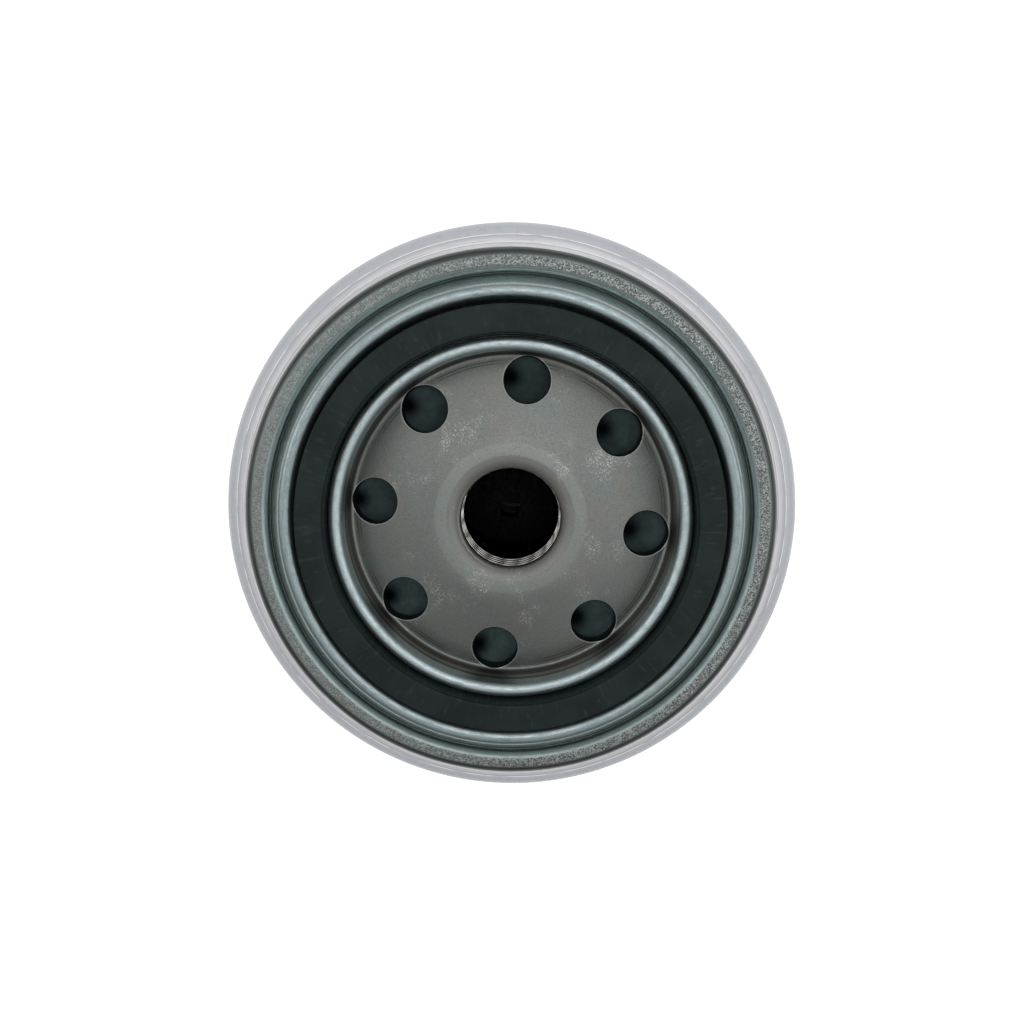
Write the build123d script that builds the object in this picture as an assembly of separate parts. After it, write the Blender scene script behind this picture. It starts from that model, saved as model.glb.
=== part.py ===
"""Spin-on oil filter: a seamed steel can round a pleated element, with a bypass valve and a drain-back valve.

The closed end rests on the plane Z = 0 and the threaded end faces +Z. All lengths are in millimetres.
"""
from build123d import *
from math import cos, hypot, pi, radians, sin, tan
import os

# ---- envelope and sheet thicknesses ----
OVERALL_HEIGHT = 100.0        # closed end to the gasket's sealing face
CAN_DIAMETER = 100.0
CAN_WALL = 0.55
LID_SHEET = 0.9
PLATE_THICKNESS = 2.8
CAP_SHEET = 0.5
TUBE_SHEET = 0.5
VALVE_SHEET = 0.7

# ---- clearances ----
RUNNING_GAP = 0.3             # between pieces that move against each other, and round soft pieces
CONTACT_GAP = 0.05            # between faces that seal or fold against each other
SLIP_FIT = 0.1                # between pressed pieces that slide into one another

# ---- base gasket ----
GASKET_OUTER_DIAMETER = 71.8
GASKET_INNER_DIAMETER = 62.4
GASKET_THICKNESS = 5.35
GASKET_EDGE_ROUND = 0.35

# ---- seaming lid: inner bead, gasket channel, outer bead, chuck wall and seam ----
INNER_BEAD_WIDTH = 2.35       # over the outside of the fold
INNER_BEAD_CLEARANCE = 0.15   # bead to the gasket's bore
INNER_BEAD_HEIGHT = 2.25      # above the channel floor
OUTER_BEAD_HEIGHT = 3.75      # above the channel floor
OUTER_BEAD_CREST = 1.55       # straight width of the crest before rounding
OUTER_BEAD_SLOPE_WIDTH = 2.0  # radial width of the slope down to the countersink
CHANNEL_CLEARANCE = 0.25      # gasket edge to the channel's outer wall
CHANNEL_FLARE = 0.55          # the outer wall leans out by this much
COUNTERSINK_DEPTH = 0.55      # countersink bottom above the channel floor
SEAM_INNER_RADIUS = 41.2
SLOPE_FOOT_HEIGHT = 0.15      # above the countersink's bottom
SEAM_TOP = 2.65               # above the channel floor
SEAM_ROUND = 1.3              # this round and those below are to the middle of the sheet
CHUCK_ROUND = 0.7
COVER_HOOK_ROUND = 0.55
BODY_HOOK_ROUND = 0.4
BEAD_CROWN_ROUND = 0.6
BEAD_FOOT_ROUND = 0.55
CHANNEL_ROUND = 0.6
CREST_INNER_ROUND = 1.05
CREST_OUTER_ROUND = 0.95
SLOPE_FOOT_ROUND = 0.8
COUNTERSINK_ROUND = 0.5
SEAM_HEIGHT = 4.0
BODY_HOOK_DROP = 0.35         # sealant space over the can's hook
STAKE_COUNT = 8
STAKE_RADIUS = 0.6
STAKE_REACH = 0.1             # how far each stake bulges towards the gasket
STAKE_PHASE = 34.4            # degrees from the first inlet hole

# ---- tapping plate ----
THREAD_MINOR_DIAMETER = 17.4    # crests of a 3/4-16 UNF thread
NECK_WALL = 2.6
NECK_BELOW_PANEL = 6.7        # below the panel's top at the inlet holes
NECK_ENTRY_ROUND = 2.5
NECK_ROOT_ROUND = 1.5
NECK_LAND_RADIUS = 13.4       # flat land round the threaded hole
INLET_COUNT = 8
INLET_DIAMETER = 8.04
INLET_CIRCLE_DIAMETER = 48.2
PANEL_SLOPE = 12.4            # degrees, falling outwards
DISH_DEPTH = 3.05             # flange top above the panel's top at the inlet holes
DISH_FOOT_RADIUS = 28.4
DISH_MOUTH_RADIUS = 29.1
DISH_MOUTH_ROUND = 1.0
FOOT_DRAW = 0.4               # wall thinning at the dish's foot
FOOT_INNER_ROUND = 0.6
FOOT_OUTER_ROUND = 1.2
FLANGE_ROOT_ROUND = 0.8
PLATE_EDGE_ROUND = 0.5
NECK_TIP_ROUND = 0.3
FLANGE_CLEARANCE = 0.5        # plate edge to the can's neck

# ---- can ----
SHOULDER_GAP = 0.3            # under the double seam
SHOULDER_ROUND = 2.5
NECK_ROUND = 0.9
HEEL_ROUND = 9.0
STANDING_RING_RADIUS = 33.0
RECESS_DEPTH = 2.5
RECESS_WALL_RUN = 2.5
RECESS_ROUND = 1.5
FLUTE_COUNT = 15
FLUTE_RADIUS = 10.0
FLUTE_DEPTH = 1.4
FLUTE_TOP = 26.0

# ---- drain-back valve ----
RUBBER_THICKNESS = 1.3
HUB_WALL = 2.8
HUB_LENGTH = 7.0
MEMBRANE_ROOT = 4.3           # membrane below the hub's top, at the hub
LIP_RADIUS = 30.3
LIP_WIDTH = 1.7
LIP_HEIGHT = 1.9
RUBBER_EDGE_ROUND = 0.4
MEMBRANE_ROOT_ROUND = 0.6
LIP_CORNER_ROUND = 0.2

# ---- filter element ----
MEDIA_OUTER_DIAMETER = 86.0
MEDIA_PAPER = 0.6
PLEAT_COUNT = 48
CENTRE_TUBE_DIAMETER = 38.0
TUBE_TO_PLEATS = 0.6
POTTING_THICKNESS = 2.0
CAP_BEND = 0.9                # to the middle of the sheet
CAP_RIM_HEIGHT = 4.0
CAP_RIM_CLEARANCE = 0.5       # pleat tips to the cap's rim
COLLAR_HEIGHT = 2.5
ELEMENT_LIFT = 14.0           # bottom cap above the recess of the closed end
TUBE_HOLE_DIAMETER = 5.0
TUBE_HOLES_AROUND = 10
TUBE_HOLE_ROWS = 5
CLIP_SHEET = 0.4
CLIP_LEG = 5.0
CLIP_CLEARANCE = 0.45

# ---- bypass valve ----
VALVE_BARREL_DIAMETER = 26.0
VALVE_CUP_DEPTH = 10.0
VALVE_FLANGE_CLEARANCE = 1.5  # flange edge to the centre tube's bore
VALVE_BEND = 0.9              # to the middle of the sheet
PORT_DIAMETER = 12.0
SEAT_SEAL_DIAMETER = 20.0
SEAT_SEAL_THICKNESS = 1.2
DISC_DIAMETER = 18.0
DISC_THICKNESS = 1.2
STEM_DIAMETER = 3.0
STEM_HEAD_DIAMETER = 5.0
STEM_HEAD_HEIGHT = 0.9
BYPASS_WIRE = 0.8
BYPASS_COIL_DIAMETER = 11.0
BYPASS_COILS = 3.5
RETAINER_SETBACK = 0.5        # retainer edge inside the flange's edge
RETAINER_WINDOWS = 4
RETAINER_WINDOW_WIDTH = 5.0
RETAINER_WINDOW_START = 7.0   # from the axis
RETAINER_WINDOW_END = 11.5

# ---- element spring ----
SPRING_WIRE = 1.8
SPRING_INSET = 1.0       # from the centre tube's outside to the wire's centre line
SPRING_COILS = 3

# ---- levels and radii that follow from the sizes above ----
can_radius = CAN_DIAMETER / 2
gasket_outer = GASKET_OUTER_DIAMETER / 2
gasket_inner = GASKET_INNER_DIAMETER / 2
thread_minor = THREAD_MINOR_DIAMETER / 2
neck_outer = thread_minor + NECK_WALL
inlet_circle = INLET_CIRCLE_DIAMETER / 2

channel_floor = OVERALL_HEIGHT - GASKET_THICKNESS
flange_top = channel_floor - LID_SHEET
flange_bottom = flange_top - PLATE_THICKNESS
panel_level = flange_top - DISH_DEPTH
neck_bottom = panel_level - NECK_BELOW_PANEL
panel_fall = tan(radians(PANEL_SLOPE))
land_level = panel_level + (inlet_circle - NECK_LAND_RADIUS) * panel_fall
land_underside = land_level - PLATE_THICKNESS
foot_underside = panel_level + (inlet_circle - DISH_FOOT_RADIUS) * panel_fall - PLATE_THICKNESS

seam_top = channel_floor + SEAM_TOP
seam_bottom = seam_top - SEAM_HEIGHT
layer_step = LID_SHEET / 2 + CONTACT_GAP + CAN_WALL / 2
chuck_wall = SEAM_INNER_RADIUS + LID_SHEET / 2
can_neck = chuck_wall + layer_step
cover_hook = can_neck + layer_step
body_hook = cover_hook + layer_step
seam_wall = body_hook + layer_step
body_hook_top = seam_top - LID_SHEET - BODY_HOOK_DROP - CAN_WALL / 2
can_neck_bore = can_neck - CAN_WALL / 2
shoulder_level = seam_bottom - SHOULDER_GAP - CAN_WALL / 2

recess_top = RECESS_DEPTH + CAN_WALL
element_bottom = recess_top + ELEMENT_LIFT
hub_bore = neck_outer + RUNNING_GAP
hub_outer = hub_bore + HUB_WALL
hub_top = land_underside - NECK_ROOT_ROUND - RUNNING_GAP
hub_bottom = hub_top - HUB_LENGTH
element_top = hub_bottom - RUNNING_GAP
media_outer = MEDIA_OUTER_DIAMETER / 2
tube_outer = CENTRE_TUBE_DIAMETER / 2
tube_bore = tube_outer - TUBE_SHEET
media_inner = tube_outer + TUBE_TO_PLEATS
cap_radius = media_outer + CAP_RIM_CLEARANCE + CAP_SHEET
bottom_cap_top = element_bottom + CAP_SHEET
top_cap_underside = element_top - CAP_SHEET

valve_barrel = VALVE_BARREL_DIAMETER / 2
valve_flange = tube_bore - VALVE_FLANGE_CLEARANCE
retainer_underside = bottom_cap_top + VALVE_SHEET
seat_top = retainer_underside - VALVE_CUP_DEPTH
seal_top = seat_top + SEAT_SEAL_THICKNESS
disc_underside = seal_top + CONTACT_GAP
disc_top = disc_underside + DISC_THICKNESS
stem_top = retainer_underside + VALVE_SHEET + STEM_DIAMETER / 2


# ---- helpers ----
def offset_corners(points, distance):
    """Corners of a polyline moved sideways by distance, to the left of its direction."""
    moved = []
    for index, (r, z) in enumerate(points):
        before = points[max(index - 1, 0)]
        after = points[min(index + 1, len(points) - 1)]
        steps = []
        for start, end in ((before, (r, z)), ((r, z), after)):
            length = hypot(end[0] - start[0], end[1] - start[1])
            if length > 0:
                steps.append((-(end[1] - start[1]) / length, (end[0] - start[0]) / length))
        first, last = steps[0], steps[-1]
        share = distance / (1 + first[0] * last[0] + first[1] * last[1])
        moved.append((r + (first[0] + last[0]) * share, z + (first[1] + last[1]) * share))
    return moved


def turns_left(before, corner, after):
    """True where a path through three points turns to its left."""
    first = (corner[0] - before[0], corner[1] - before[1])
    last = (after[0] - corner[0], after[1] - corner[1])
    return first[0] * last[1] - first[1] * last[0] > 0


def sheet_side(points, rounds, distance):
    """One face line of a sheet, at distance to the left of its rounded middle line, with its end points."""
    corners = offset_corners(points, distance)
    side_rounds = []
    for index, radius in enumerate(rounds):
        left = turns_left(*points[index:index + 3])
        side_rounds.append(radius - distance if left else radius + distance)
    return FilletPolyline(*corners, radius=side_rounds), corners[0], corners[-1]


def sheet_section(points, rounds, thickness):
    """Section of a pressed sheet whose middle line is points, each inner point rounded."""
    left, left_start, left_end = sheet_side(points, rounds, thickness / 2)
    right, right_start, right_end = sheet_side(points, rounds, -thickness / 2)
    return make_face([left, Line(left_end, right_end), right, Line(right_start, left_start)])


def spun(section):
    """Solid of revolution of an (r, z) section about the filter's axis."""
    return revolve(Plane.XZ * section, axis=Axis.Z)


def ring_section(inner, outer, bottom, top):
    """Rectangular (r, z) section."""
    return make_face(Polyline((inner, bottom), (outer, bottom), (outer, top), (inner, top), close=True))


def ring(inner, outer, bottom, top):
    """Plain ring, or a disc where inner is zero."""
    return spun(ring_section(inner, outer, bottom, top))


def rounded_section(corners, rounds):
    """Closed (r, z) section with one rounding radius for each corner."""
    return make_face(FilletPolyline(*corners, radius=rounds, close=True))


def around(count, phase=0.0):
    """Angles of evenly spaced features, in degrees."""
    return [phase + 360.0 * index / count for index in range(count)]


def coil(diameter, wire, low, high, turns):
    """Open-ended spring of a mean diameter, whose wire stays between the levels low and high."""
    rise = high - low - wire - 2 * CONTACT_GAP
    path = Pos(0, 0, low + wire / 2 + CONTACT_GAP) * Helix(pitch=rise / turns, height=rise, radius=diameter / 2)
    section = Plane(origin=path @ 0, z_dir=path % 0) * Circle(wire / 2)
    return sweep(section, path=path, is_frenet=True)


# ---- outer pieces ----
def lid_section():
    """Section of the seaming lid, from its inner leg out to the cover hook."""
    half = LID_SHEET / 2
    outer_leg = gasket_inner - INNER_BEAD_CLEARANCE - half
    inner_leg = outer_leg - INNER_BEAD_WIDTH + LID_SHEET
    floor = channel_floor - half
    inner_crest = channel_floor + INNER_BEAD_HEIGHT - half
    outer_crest = channel_floor + OUTER_BEAD_HEIGHT - half
    channel_wall = gasket_outer + CHANNEL_CLEARANCE + half
    crest_start = channel_wall + CHANNEL_FLARE
    crest_end = crest_start + OUTER_BEAD_CREST
    slope_end = crest_end + OUTER_BEAD_SLOPE_WIDTH
    countersink = channel_floor + COUNTERSINK_DEPTH - half
    top = seam_top - half
    bottom = seam_bottom + half
    hook_end = body_hook_top - CAN_WALL / 2 - SLIP_FIT - CONTACT_GAP
    path = [
        (inner_leg, flange_top + SLIP_FIT), (inner_leg, inner_crest), (outer_leg, inner_crest),
        (outer_leg, floor), (channel_wall, floor), (crest_start, outer_crest), (crest_end, outer_crest),
        (slope_end, countersink + SLOPE_FOOT_HEIGHT), (chuck_wall, countersink), (chuck_wall, top),
        (seam_wall, top), (seam_wall, bottom), (cover_hook, bottom), (cover_hook, hook_end),
    ]
    rounds = [
        BEAD_CROWN_ROUND, BEAD_CROWN_ROUND, BEAD_FOOT_ROUND, CHANNEL_ROUND, CREST_INNER_ROUND,
        CREST_OUTER_ROUND, SLOPE_FOOT_ROUND, COUNTERSINK_ROUND, CHUCK_ROUND, SEAM_ROUND, COVER_HOOK_ROUND,
        COVER_HOOK_ROUND,
    ]
    return sheet_section(path, rounds, LID_SHEET)


def seaming_lid():
    """Pressed ring that holds the gasket and is folded over the can, with stakes beside the gasket."""
    lid = spun(lid_section())
    stake_radius = gasket_inner - INNER_BEAD_CLEARANCE + STAKE_REACH - STAKE_RADIUS
    level = channel_floor + INNER_BEAD_HEIGHT - LID_SHEET
    for angle in around(STAKE_COUNT, STAKE_PHASE):
        lid += Rot(0, 0, angle) * Pos(stake_radius, 0, level) * Sphere(STAKE_RADIUS)
    return lid


def can_path():
    """Middle line of the can and its roundings, split where the plain wall meets the fluted heel."""
    half = CAN_WALL / 2
    wall = can_radius - half
    split = FLUTE_TOP + HEEL_ROUND
    hook_end = seam_bottom + LID_SHEET + SLIP_FIT
    recess_edge = STANDING_RING_RADIUS - RECESS_WALL_RUN
    upper = [
        (body_hook, hook_end), (body_hook, body_hook_top), (can_neck, body_hook_top),
        (can_neck, shoulder_level), (wall, shoulder_level), (wall, split),
    ]
    lower = [
        (wall, split), (wall, half), (STANDING_RING_RADIUS, half),
        (recess_edge, RECESS_DEPTH + half), (0, RECESS_DEPTH + half),
    ]
    shoulder_round = min(SHOULDER_ROUND, wall - can_neck - NECK_ROUND - CONTACT_GAP)
    upper_rounds = [BODY_HOOK_ROUND, BODY_HOOK_ROUND, NECK_ROUND, shoulder_round]
    return (upper, upper_rounds), (lower, [HEEL_ROUND, RECESS_ROUND, RECESS_ROUND])


def fluted(path, rounds, side, cutter_radius):
    """Solid inside one face of the can's lower part, with the wrench flutes cut into it."""
    line, start, end = sheet_side(path, rounds, side)
    top = (0, start[1])
    body = spun(make_face([line, Line(end, top), Line(top, start)]))
    centre = can_radius + FLUTE_RADIUS - FLUTE_DEPTH
    shank = FLUTE_TOP - FLUTE_RADIUS
    cutter = Pos(0, 0, shank / 2) * Cylinder(cutter_radius, shank) + Pos(0, 0, shank) * Sphere(cutter_radius)
    for angle in around(FLUTE_COUNT):
        body -= Rot(0, 0, angle) * Pos(centre, 0, 0) * cutter
    return body


def can():
    """Deep-drawn can with a recessed closed end and wrench flutes round its heel."""
    (upper, upper_rounds), (lower, lower_rounds) = can_path()
    half = CAN_WALL / 2
    outside = fluted(lower, lower_rounds, half, FLUTE_RADIUS)
    inside = fluted(lower, lower_rounds, -half, FLUTE_RADIUS + CAN_WALL)
    return spun(sheet_section(upper, upper_rounds, CAN_WALL)) + (outside - inside)


def seam_sealing_compound():
    """Sealant in the fold of the double seam, over the can's hook."""
    low = body_hook_top + CAN_WALL / 2 + CONTACT_GAP
    return ring(can_neck, body_hook - SEAM_ROUND / 4, low, seam_top - LID_SHEET - CONTACT_GAP)


def base_gasket():
    """Flat sealing ring in the lid's channel."""
    inner, outer = gasket_inner, gasket_outer
    corners = [(inner, channel_floor), (outer, channel_floor), (outer, OVERALL_HEIGHT), (inner, OVERALL_HEIGHT)]
    return spun(rounded_section(corners, [GASKET_EDGE_ROUND] * 4))


def tapping_plate():
    """Thick dished plate with an extruded, threaded neck and a ring of inlet holes."""
    panel_foot = foot_underside + PLATE_THICKNESS
    plate_edge = can_neck_bore - FLANGE_CLEARANCE
    foot_outer = DISH_FOOT_RADIUS + PLATE_THICKNESS - FOOT_DRAW
    outline = {
        (thread_minor, neck_bottom): NECK_TIP_ROUND,
        (neck_outer, neck_bottom): NECK_TIP_ROUND,
        (neck_outer, land_underside): NECK_ROOT_ROUND,
        (NECK_LAND_RADIUS, land_underside): PLATE_EDGE_ROUND,
        (DISH_FOOT_RADIUS, foot_underside): PLATE_EDGE_ROUND,
        (foot_outer, foot_underside): FOOT_OUTER_ROUND,
        (DISH_MOUTH_RADIUS + PLATE_THICKNESS, flange_bottom): FLANGE_ROOT_ROUND,
        (plate_edge, flange_bottom): PLATE_EDGE_ROUND,
        (plate_edge, flange_top): PLATE_EDGE_ROUND,
        (DISH_MOUTH_RADIUS, flange_top): DISH_MOUTH_ROUND,
        (DISH_FOOT_RADIUS, panel_foot): FOOT_INNER_ROUND,
        (NECK_LAND_RADIUS, land_level): PLATE_EDGE_ROUND,
        (thread_minor, land_level): NECK_ENTRY_ROUND,
    }
    plate = spun(rounded_section(list(outline), list(outline.values())))
    depth = OVERALL_HEIGHT - neck_bottom
    inlet = Pos(inlet_circle, 0, neck_bottom + depth / 2) * Cylinder(INLET_DIAMETER / 2, depth)
    for angle in around(INLET_COUNT):
        plate -= Rot(0, 0, angle) * inlet
    return plate


def anti_drainback_valve():
    """Rubber sleeve round the neck with a thin membrane whose lip seals under the plate's foot."""
    lip_inner = LIP_RADIUS - LIP_WIDTH
    lip_top = foot_underside - RUNNING_GAP
    lip_bottom = lip_top - LIP_HEIGHT
    root_top = hub_top - MEMBRANE_ROOT
    outline = {
        (hub_bore, hub_bottom): RUBBER_EDGE_ROUND,
        (hub_outer, hub_bottom): RUBBER_EDGE_ROUND,
        (hub_outer, root_top - RUBBER_THICKNESS): MEMBRANE_ROOT_ROUND,
        (lip_inner, lip_bottom + LIP_HEIGHT / 4): LIP_CORNER_ROUND,
        (LIP_RADIUS, lip_bottom): RUBBER_EDGE_ROUND,
        (LIP_RADIUS, lip_top): RUBBER_EDGE_ROUND,
        (lip_inner, lip_top): LIP_CORNER_ROUND,
        (lip_inner - LIP_WIDTH / 4, lip_top - LIP_HEIGHT / 4): LIP_CORNER_ROUND,
        (hub_outer, root_top): MEMBRANE_ROOT_ROUND,
        (hub_outer, hub_top): RUBBER_EDGE_ROUND,
        (hub_bore, hub_top): RUBBER_EDGE_ROUND,
    }
    return spun(rounded_section(list(outline), list(outline.values())))


# ---- filter element ----
def end_cap(hole_radius, collar_height, face_level, rim_side):
    """Pressed cap with an outer rim, turned to rim_side (+1 up, -1 down), and a collar if it has a height."""
    half = CAP_SHEET / 2
    level = face_level + rim_side * half
    rim = cap_radius - half
    path = [(hole_radius, level), (rim, level), (rim, level + rim_side * CAP_RIM_HEIGHT)]
    rounds = [CAP_BEND]
    if collar_height > 0:
        collar = hole_radius + half
        path[:1] = [(collar, level + rim_side * collar_height), (collar, level)]
        rounds = [CAP_BEND, CAP_BEND]
    return spun(sheet_section(path, rounds, CAP_SHEET))


def pleated_media():
    """Folded paper pack: walls that run between inner and outer folds."""
    low = bottom_cap_top + POTTING_THICKNESS
    high = top_cap_underside - POTTING_THICKNESS
    step = pi / PLEAT_COUNT

    def at(radius, angle):
        return (radius * cos(angle), radius * sin(angle))

    outside, inside = [], []
    for index in range(PLEAT_COUNT):
        tip = 2 * index * step
        outer_half = MEDIA_PAPER / media_outer
        inner_half = MEDIA_PAPER / media_inner
        outside += [at(media_outer, tip - outer_half), at(media_outer, tip + outer_half)]
        outside += [at(media_inner + MEDIA_PAPER, tip + step)]
        inside += [at(media_outer - MEDIA_PAPER, tip)]
        inside += [at(media_inner, tip + step - inner_half), at(media_inner, tip + step + inner_half)]
    section = make_face(Polyline(*outside, close=True)) - make_face(Polyline(*inside, close=True))
    return Pos(0, 0, low) * extrude(section, amount=high - low)


def media_seam_clip():
    """Folded metal strip that joins the two ends of the pleated pack over one outer fold."""
    low = bottom_cap_top + CAP_RIM_HEIGHT + RUNNING_GAP
    high = top_cap_underside - CAP_RIM_HEIGHT - RUNNING_GAP
    leg_gap = 2 * (MEDIA_PAPER + CLIP_CLEARANCE)
    fold = media_outer + CONTACT_GAP
    length = CLIP_LEG + CLIP_SHEET
    centre = fold + CLIP_SHEET - length / 2
    block = Pos(centre, 0, 0) * Rectangle(length, leg_gap + 2 * CLIP_SHEET)
    slot = Pos(fold - length / 2, 0, 0) * Rectangle(length, leg_gap)
    return Pos(0, 0, low) * extrude(block - slot, amount=high - low)


def centre_tube():
    """Perforated steel tube that holds the element's bore open."""
    low, high = bottom_cap_top, top_cap_underside
    tube = ring(tube_bore, tube_outer, low, high)
    row_step = (high - low) / (TUBE_HOLE_ROWS + 1)
    drill = Rot(0, 90, 0) * Cylinder(TUBE_HOLE_DIAMETER / 2, CENTRE_TUBE_DIAMETER)
    drill = Pos(tube_outer, 0, 0) * drill
    for row in range(TUBE_HOLE_ROWS):
        for angle in around(TUBE_HOLES_AROUND, (row % 2) * 180 / TUBE_HOLES_AROUND):
            tube -= Pos(0, 0, low + (row + 1) * row_step) * Rot(0, 0, angle) * drill
    return tube


def potting(low):
    """Adhesive ring between the pleats and an end cap, rounded like the cap's bend."""
    inner, outer = tube_outer + SLIP_FIT, cap_radius - CAP_SHEET - SLIP_FIT
    high = low + POTTING_THICKNESS
    corners = [(inner, low), (outer, low), (outer, high), (inner, high)]
    return spun(rounded_section(corners, [0, CAP_BEND, CAP_BEND, 0]))


def element_spring():
    """Coil that presses the element towards the plate, round the bypass valve's cup."""
    return coil(CENTRE_TUBE_DIAMETER - 2 * SPRING_INSET, SPRING_WIRE, recess_top, element_bottom, SPRING_COILS)


# ---- bypass valve ----
def bypass_valve_body():
    """Flanged cup through the bottom cap, with the bypass port in its floor."""
    half = VALVE_SHEET / 2
    flange = bottom_cap_top + half
    floor = seat_top - half
    path = [
        (valve_flange, flange), (valve_barrel - half, flange),
        (valve_barrel - half, floor), (PORT_DIAMETER / 2, floor),
    ]
    return spun(sheet_section(path, [VALVE_BEND, VALVE_BEND], VALVE_SHEET))


def bypass_valve_seat_seal():
    """Rubber washer round the port."""
    return ring(PORT_DIAMETER / 2, SEAT_SEAL_DIAMETER / 2, seat_top, seal_top)


def bypass_valve_disc():
    """Disc that closes the port, bored for its stem."""
    return ring(STEM_DIAMETER / 2, DISC_DIAMETER / 2, disc_underside, disc_top)


def bypass_valve_stem():
    """Guide stem riveted through the disc, with its head below."""
    head = ring(0, STEM_HEAD_DIAMETER / 2, disc_underside - STEM_HEAD_HEIGHT, disc_underside)
    return head + ring(0, STEM_DIAMETER / 2, disc_underside - STEM_HEAD_HEIGHT, stem_top)


def bypass_spring():
    """Small coil between the disc and the retainer."""
    return coil(BYPASS_COIL_DIAMETER, BYPASS_WIRE, disc_top, retainer_underside, BYPASS_COILS)


def bypass_spring_retainer():
    """Windowed plate across the cup, with a guide hole for the stem."""
    top = retainer_underside + VALVE_SHEET
    plate = ring(STEM_DIAMETER / 2 + RUNNING_GAP, valve_flange - RETAINER_SETBACK, retainer_underside, top)
    length = RETAINER_WINDOW_END - RETAINER_WINDOW_START
    centre = (RETAINER_WINDOW_END + RETAINER_WINDOW_START) / 2
    window = Pos(centre, 0, top) * Box(length, RETAINER_WINDOW_WIDTH, 4 * VALVE_SHEET)
    for angle in around(RETAINER_WINDOWS):
        plate -= Rot(0, 0, angle) * window
    return plate


nodes = {
    "can": can(),
    "seaming_lid": seaming_lid(),
    "seam_sealing_compound": seam_sealing_compound(),
    "base_gasket": base_gasket(),
    "tapping_plate": tapping_plate(),
    "anti_drainback_valve": anti_drainback_valve(),
    "top_end_cap": end_cap(neck_outer + RUNNING_GAP, COLLAR_HEIGHT, element_top, -1),
    "bottom_end_cap": end_cap(valve_barrel + VALVE_BEND, 0, element_bottom, 1),
    "pleated_media": pleated_media(),
    "media_seam_clip": media_seam_clip(),
    "centre_tube": centre_tube(),
    "top_potting": potting(top_cap_underside - POTTING_THICKNESS),
    "bottom_potting": potting(bottom_cap_top),
    "bypass_valve_body": bypass_valve_body(),
    "bypass_valve_seat_seal": bypass_valve_seat_seal(),
    "bypass_valve_disc": bypass_valve_disc(),
    "bypass_valve_stem": bypass_valve_stem(),
    "bypass_spring": bypass_spring(),
    "bypass_spring_retainer": bypass_spring_retainer(),
    "element_spring": element_spring(),
}

os.makedirs("parts", exist_ok=True)
for name, solid in nodes.items():
    solid.label = name
    export_step(solid, f"parts/{name}.step")
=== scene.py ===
from math import atan2, cos, exp, hypot, pi, radians, sin, sqrt, tan

import bmesh
import bpy
from mathutils import Matrix, Vector


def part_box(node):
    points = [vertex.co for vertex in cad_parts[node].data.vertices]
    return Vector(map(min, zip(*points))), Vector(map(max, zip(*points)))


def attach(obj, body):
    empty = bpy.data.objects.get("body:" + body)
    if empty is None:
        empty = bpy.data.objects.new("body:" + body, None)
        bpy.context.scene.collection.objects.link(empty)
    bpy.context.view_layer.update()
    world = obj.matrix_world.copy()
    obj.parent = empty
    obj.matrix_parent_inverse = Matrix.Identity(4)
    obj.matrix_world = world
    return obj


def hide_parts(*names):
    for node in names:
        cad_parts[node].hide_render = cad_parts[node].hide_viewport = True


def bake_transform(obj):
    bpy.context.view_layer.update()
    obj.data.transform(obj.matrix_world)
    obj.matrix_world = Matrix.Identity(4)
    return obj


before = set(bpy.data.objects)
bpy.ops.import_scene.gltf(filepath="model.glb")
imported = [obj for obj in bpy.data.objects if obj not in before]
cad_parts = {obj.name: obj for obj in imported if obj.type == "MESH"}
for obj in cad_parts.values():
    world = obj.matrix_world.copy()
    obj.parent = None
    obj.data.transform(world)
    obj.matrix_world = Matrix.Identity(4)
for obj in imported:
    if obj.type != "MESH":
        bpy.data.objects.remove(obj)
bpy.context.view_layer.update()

MM = 0.001


def cad_low(node):
    """Lowest level of a CAD node, in mm."""
    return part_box(node)[0].z / MM


def cad_top(node):
    """Highest level of a CAD node, in mm."""
    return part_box(node)[1].z / MM


# ---- sizes, in mm
CAN_DIAMETER = 100.0
CAN_WALL = 0.55
LID_SHEET = 0.9
PLATE_THICKNESS = 2.8
SLIP_FIT = 0.1
CONTACT_GAP = 0.05
RUNNING_GAP = 0.3

GASKET_OUTER = 35.9
GASKET_INNER = 31.2
GASKET_ROUND = 0.35
GASKET_FACE_DIP = 0.03
GASKET_EDGE_WAVE = 0.04

INNER_BEAD_WIDTH = 2.35
INNER_BEAD_CLEARANCE = 0.15
INNER_BEAD_HEIGHT = 2.25
OUTER_BEAD_HEIGHT = 3.75
OUTER_BEAD_CREST = 1.55
OUTER_BEAD_SLOPE_WIDTH = 2.0
CHANNEL_CLEARANCE = 0.25
CHANNEL_FLARE = 0.55
COUNTERSINK_DEPTH = 0.55
SLOPE_FOOT_HEIGHT = 0.15
SEAM_INNER_RADIUS = 41.2
SEAM_TOP = 2.65
SEAM_HEIGHT = 4.0
BODY_HOOK_DROP = 0.35
BODY_HOOK_ROUND = 0.4
LID_ROUNDS = [0.6, 0.6, 0.55, 0.6, 1.05, 0.95, 0.8, 0.5, 0.7, 1.3, 0.55, 0.55]  # in lid_line's order
STAKE_COUNT = 8
STAKE_PHASE = 34.4
STAKE_REACH = 0.1
STAKE_HALF_WIDTH = 0.75
STAKE_CROWN_DIP = 0.1
STAKE_EASE = 1.0              # length over which a stake's push fades out
STAKE_SHIFT = 0.2

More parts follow.
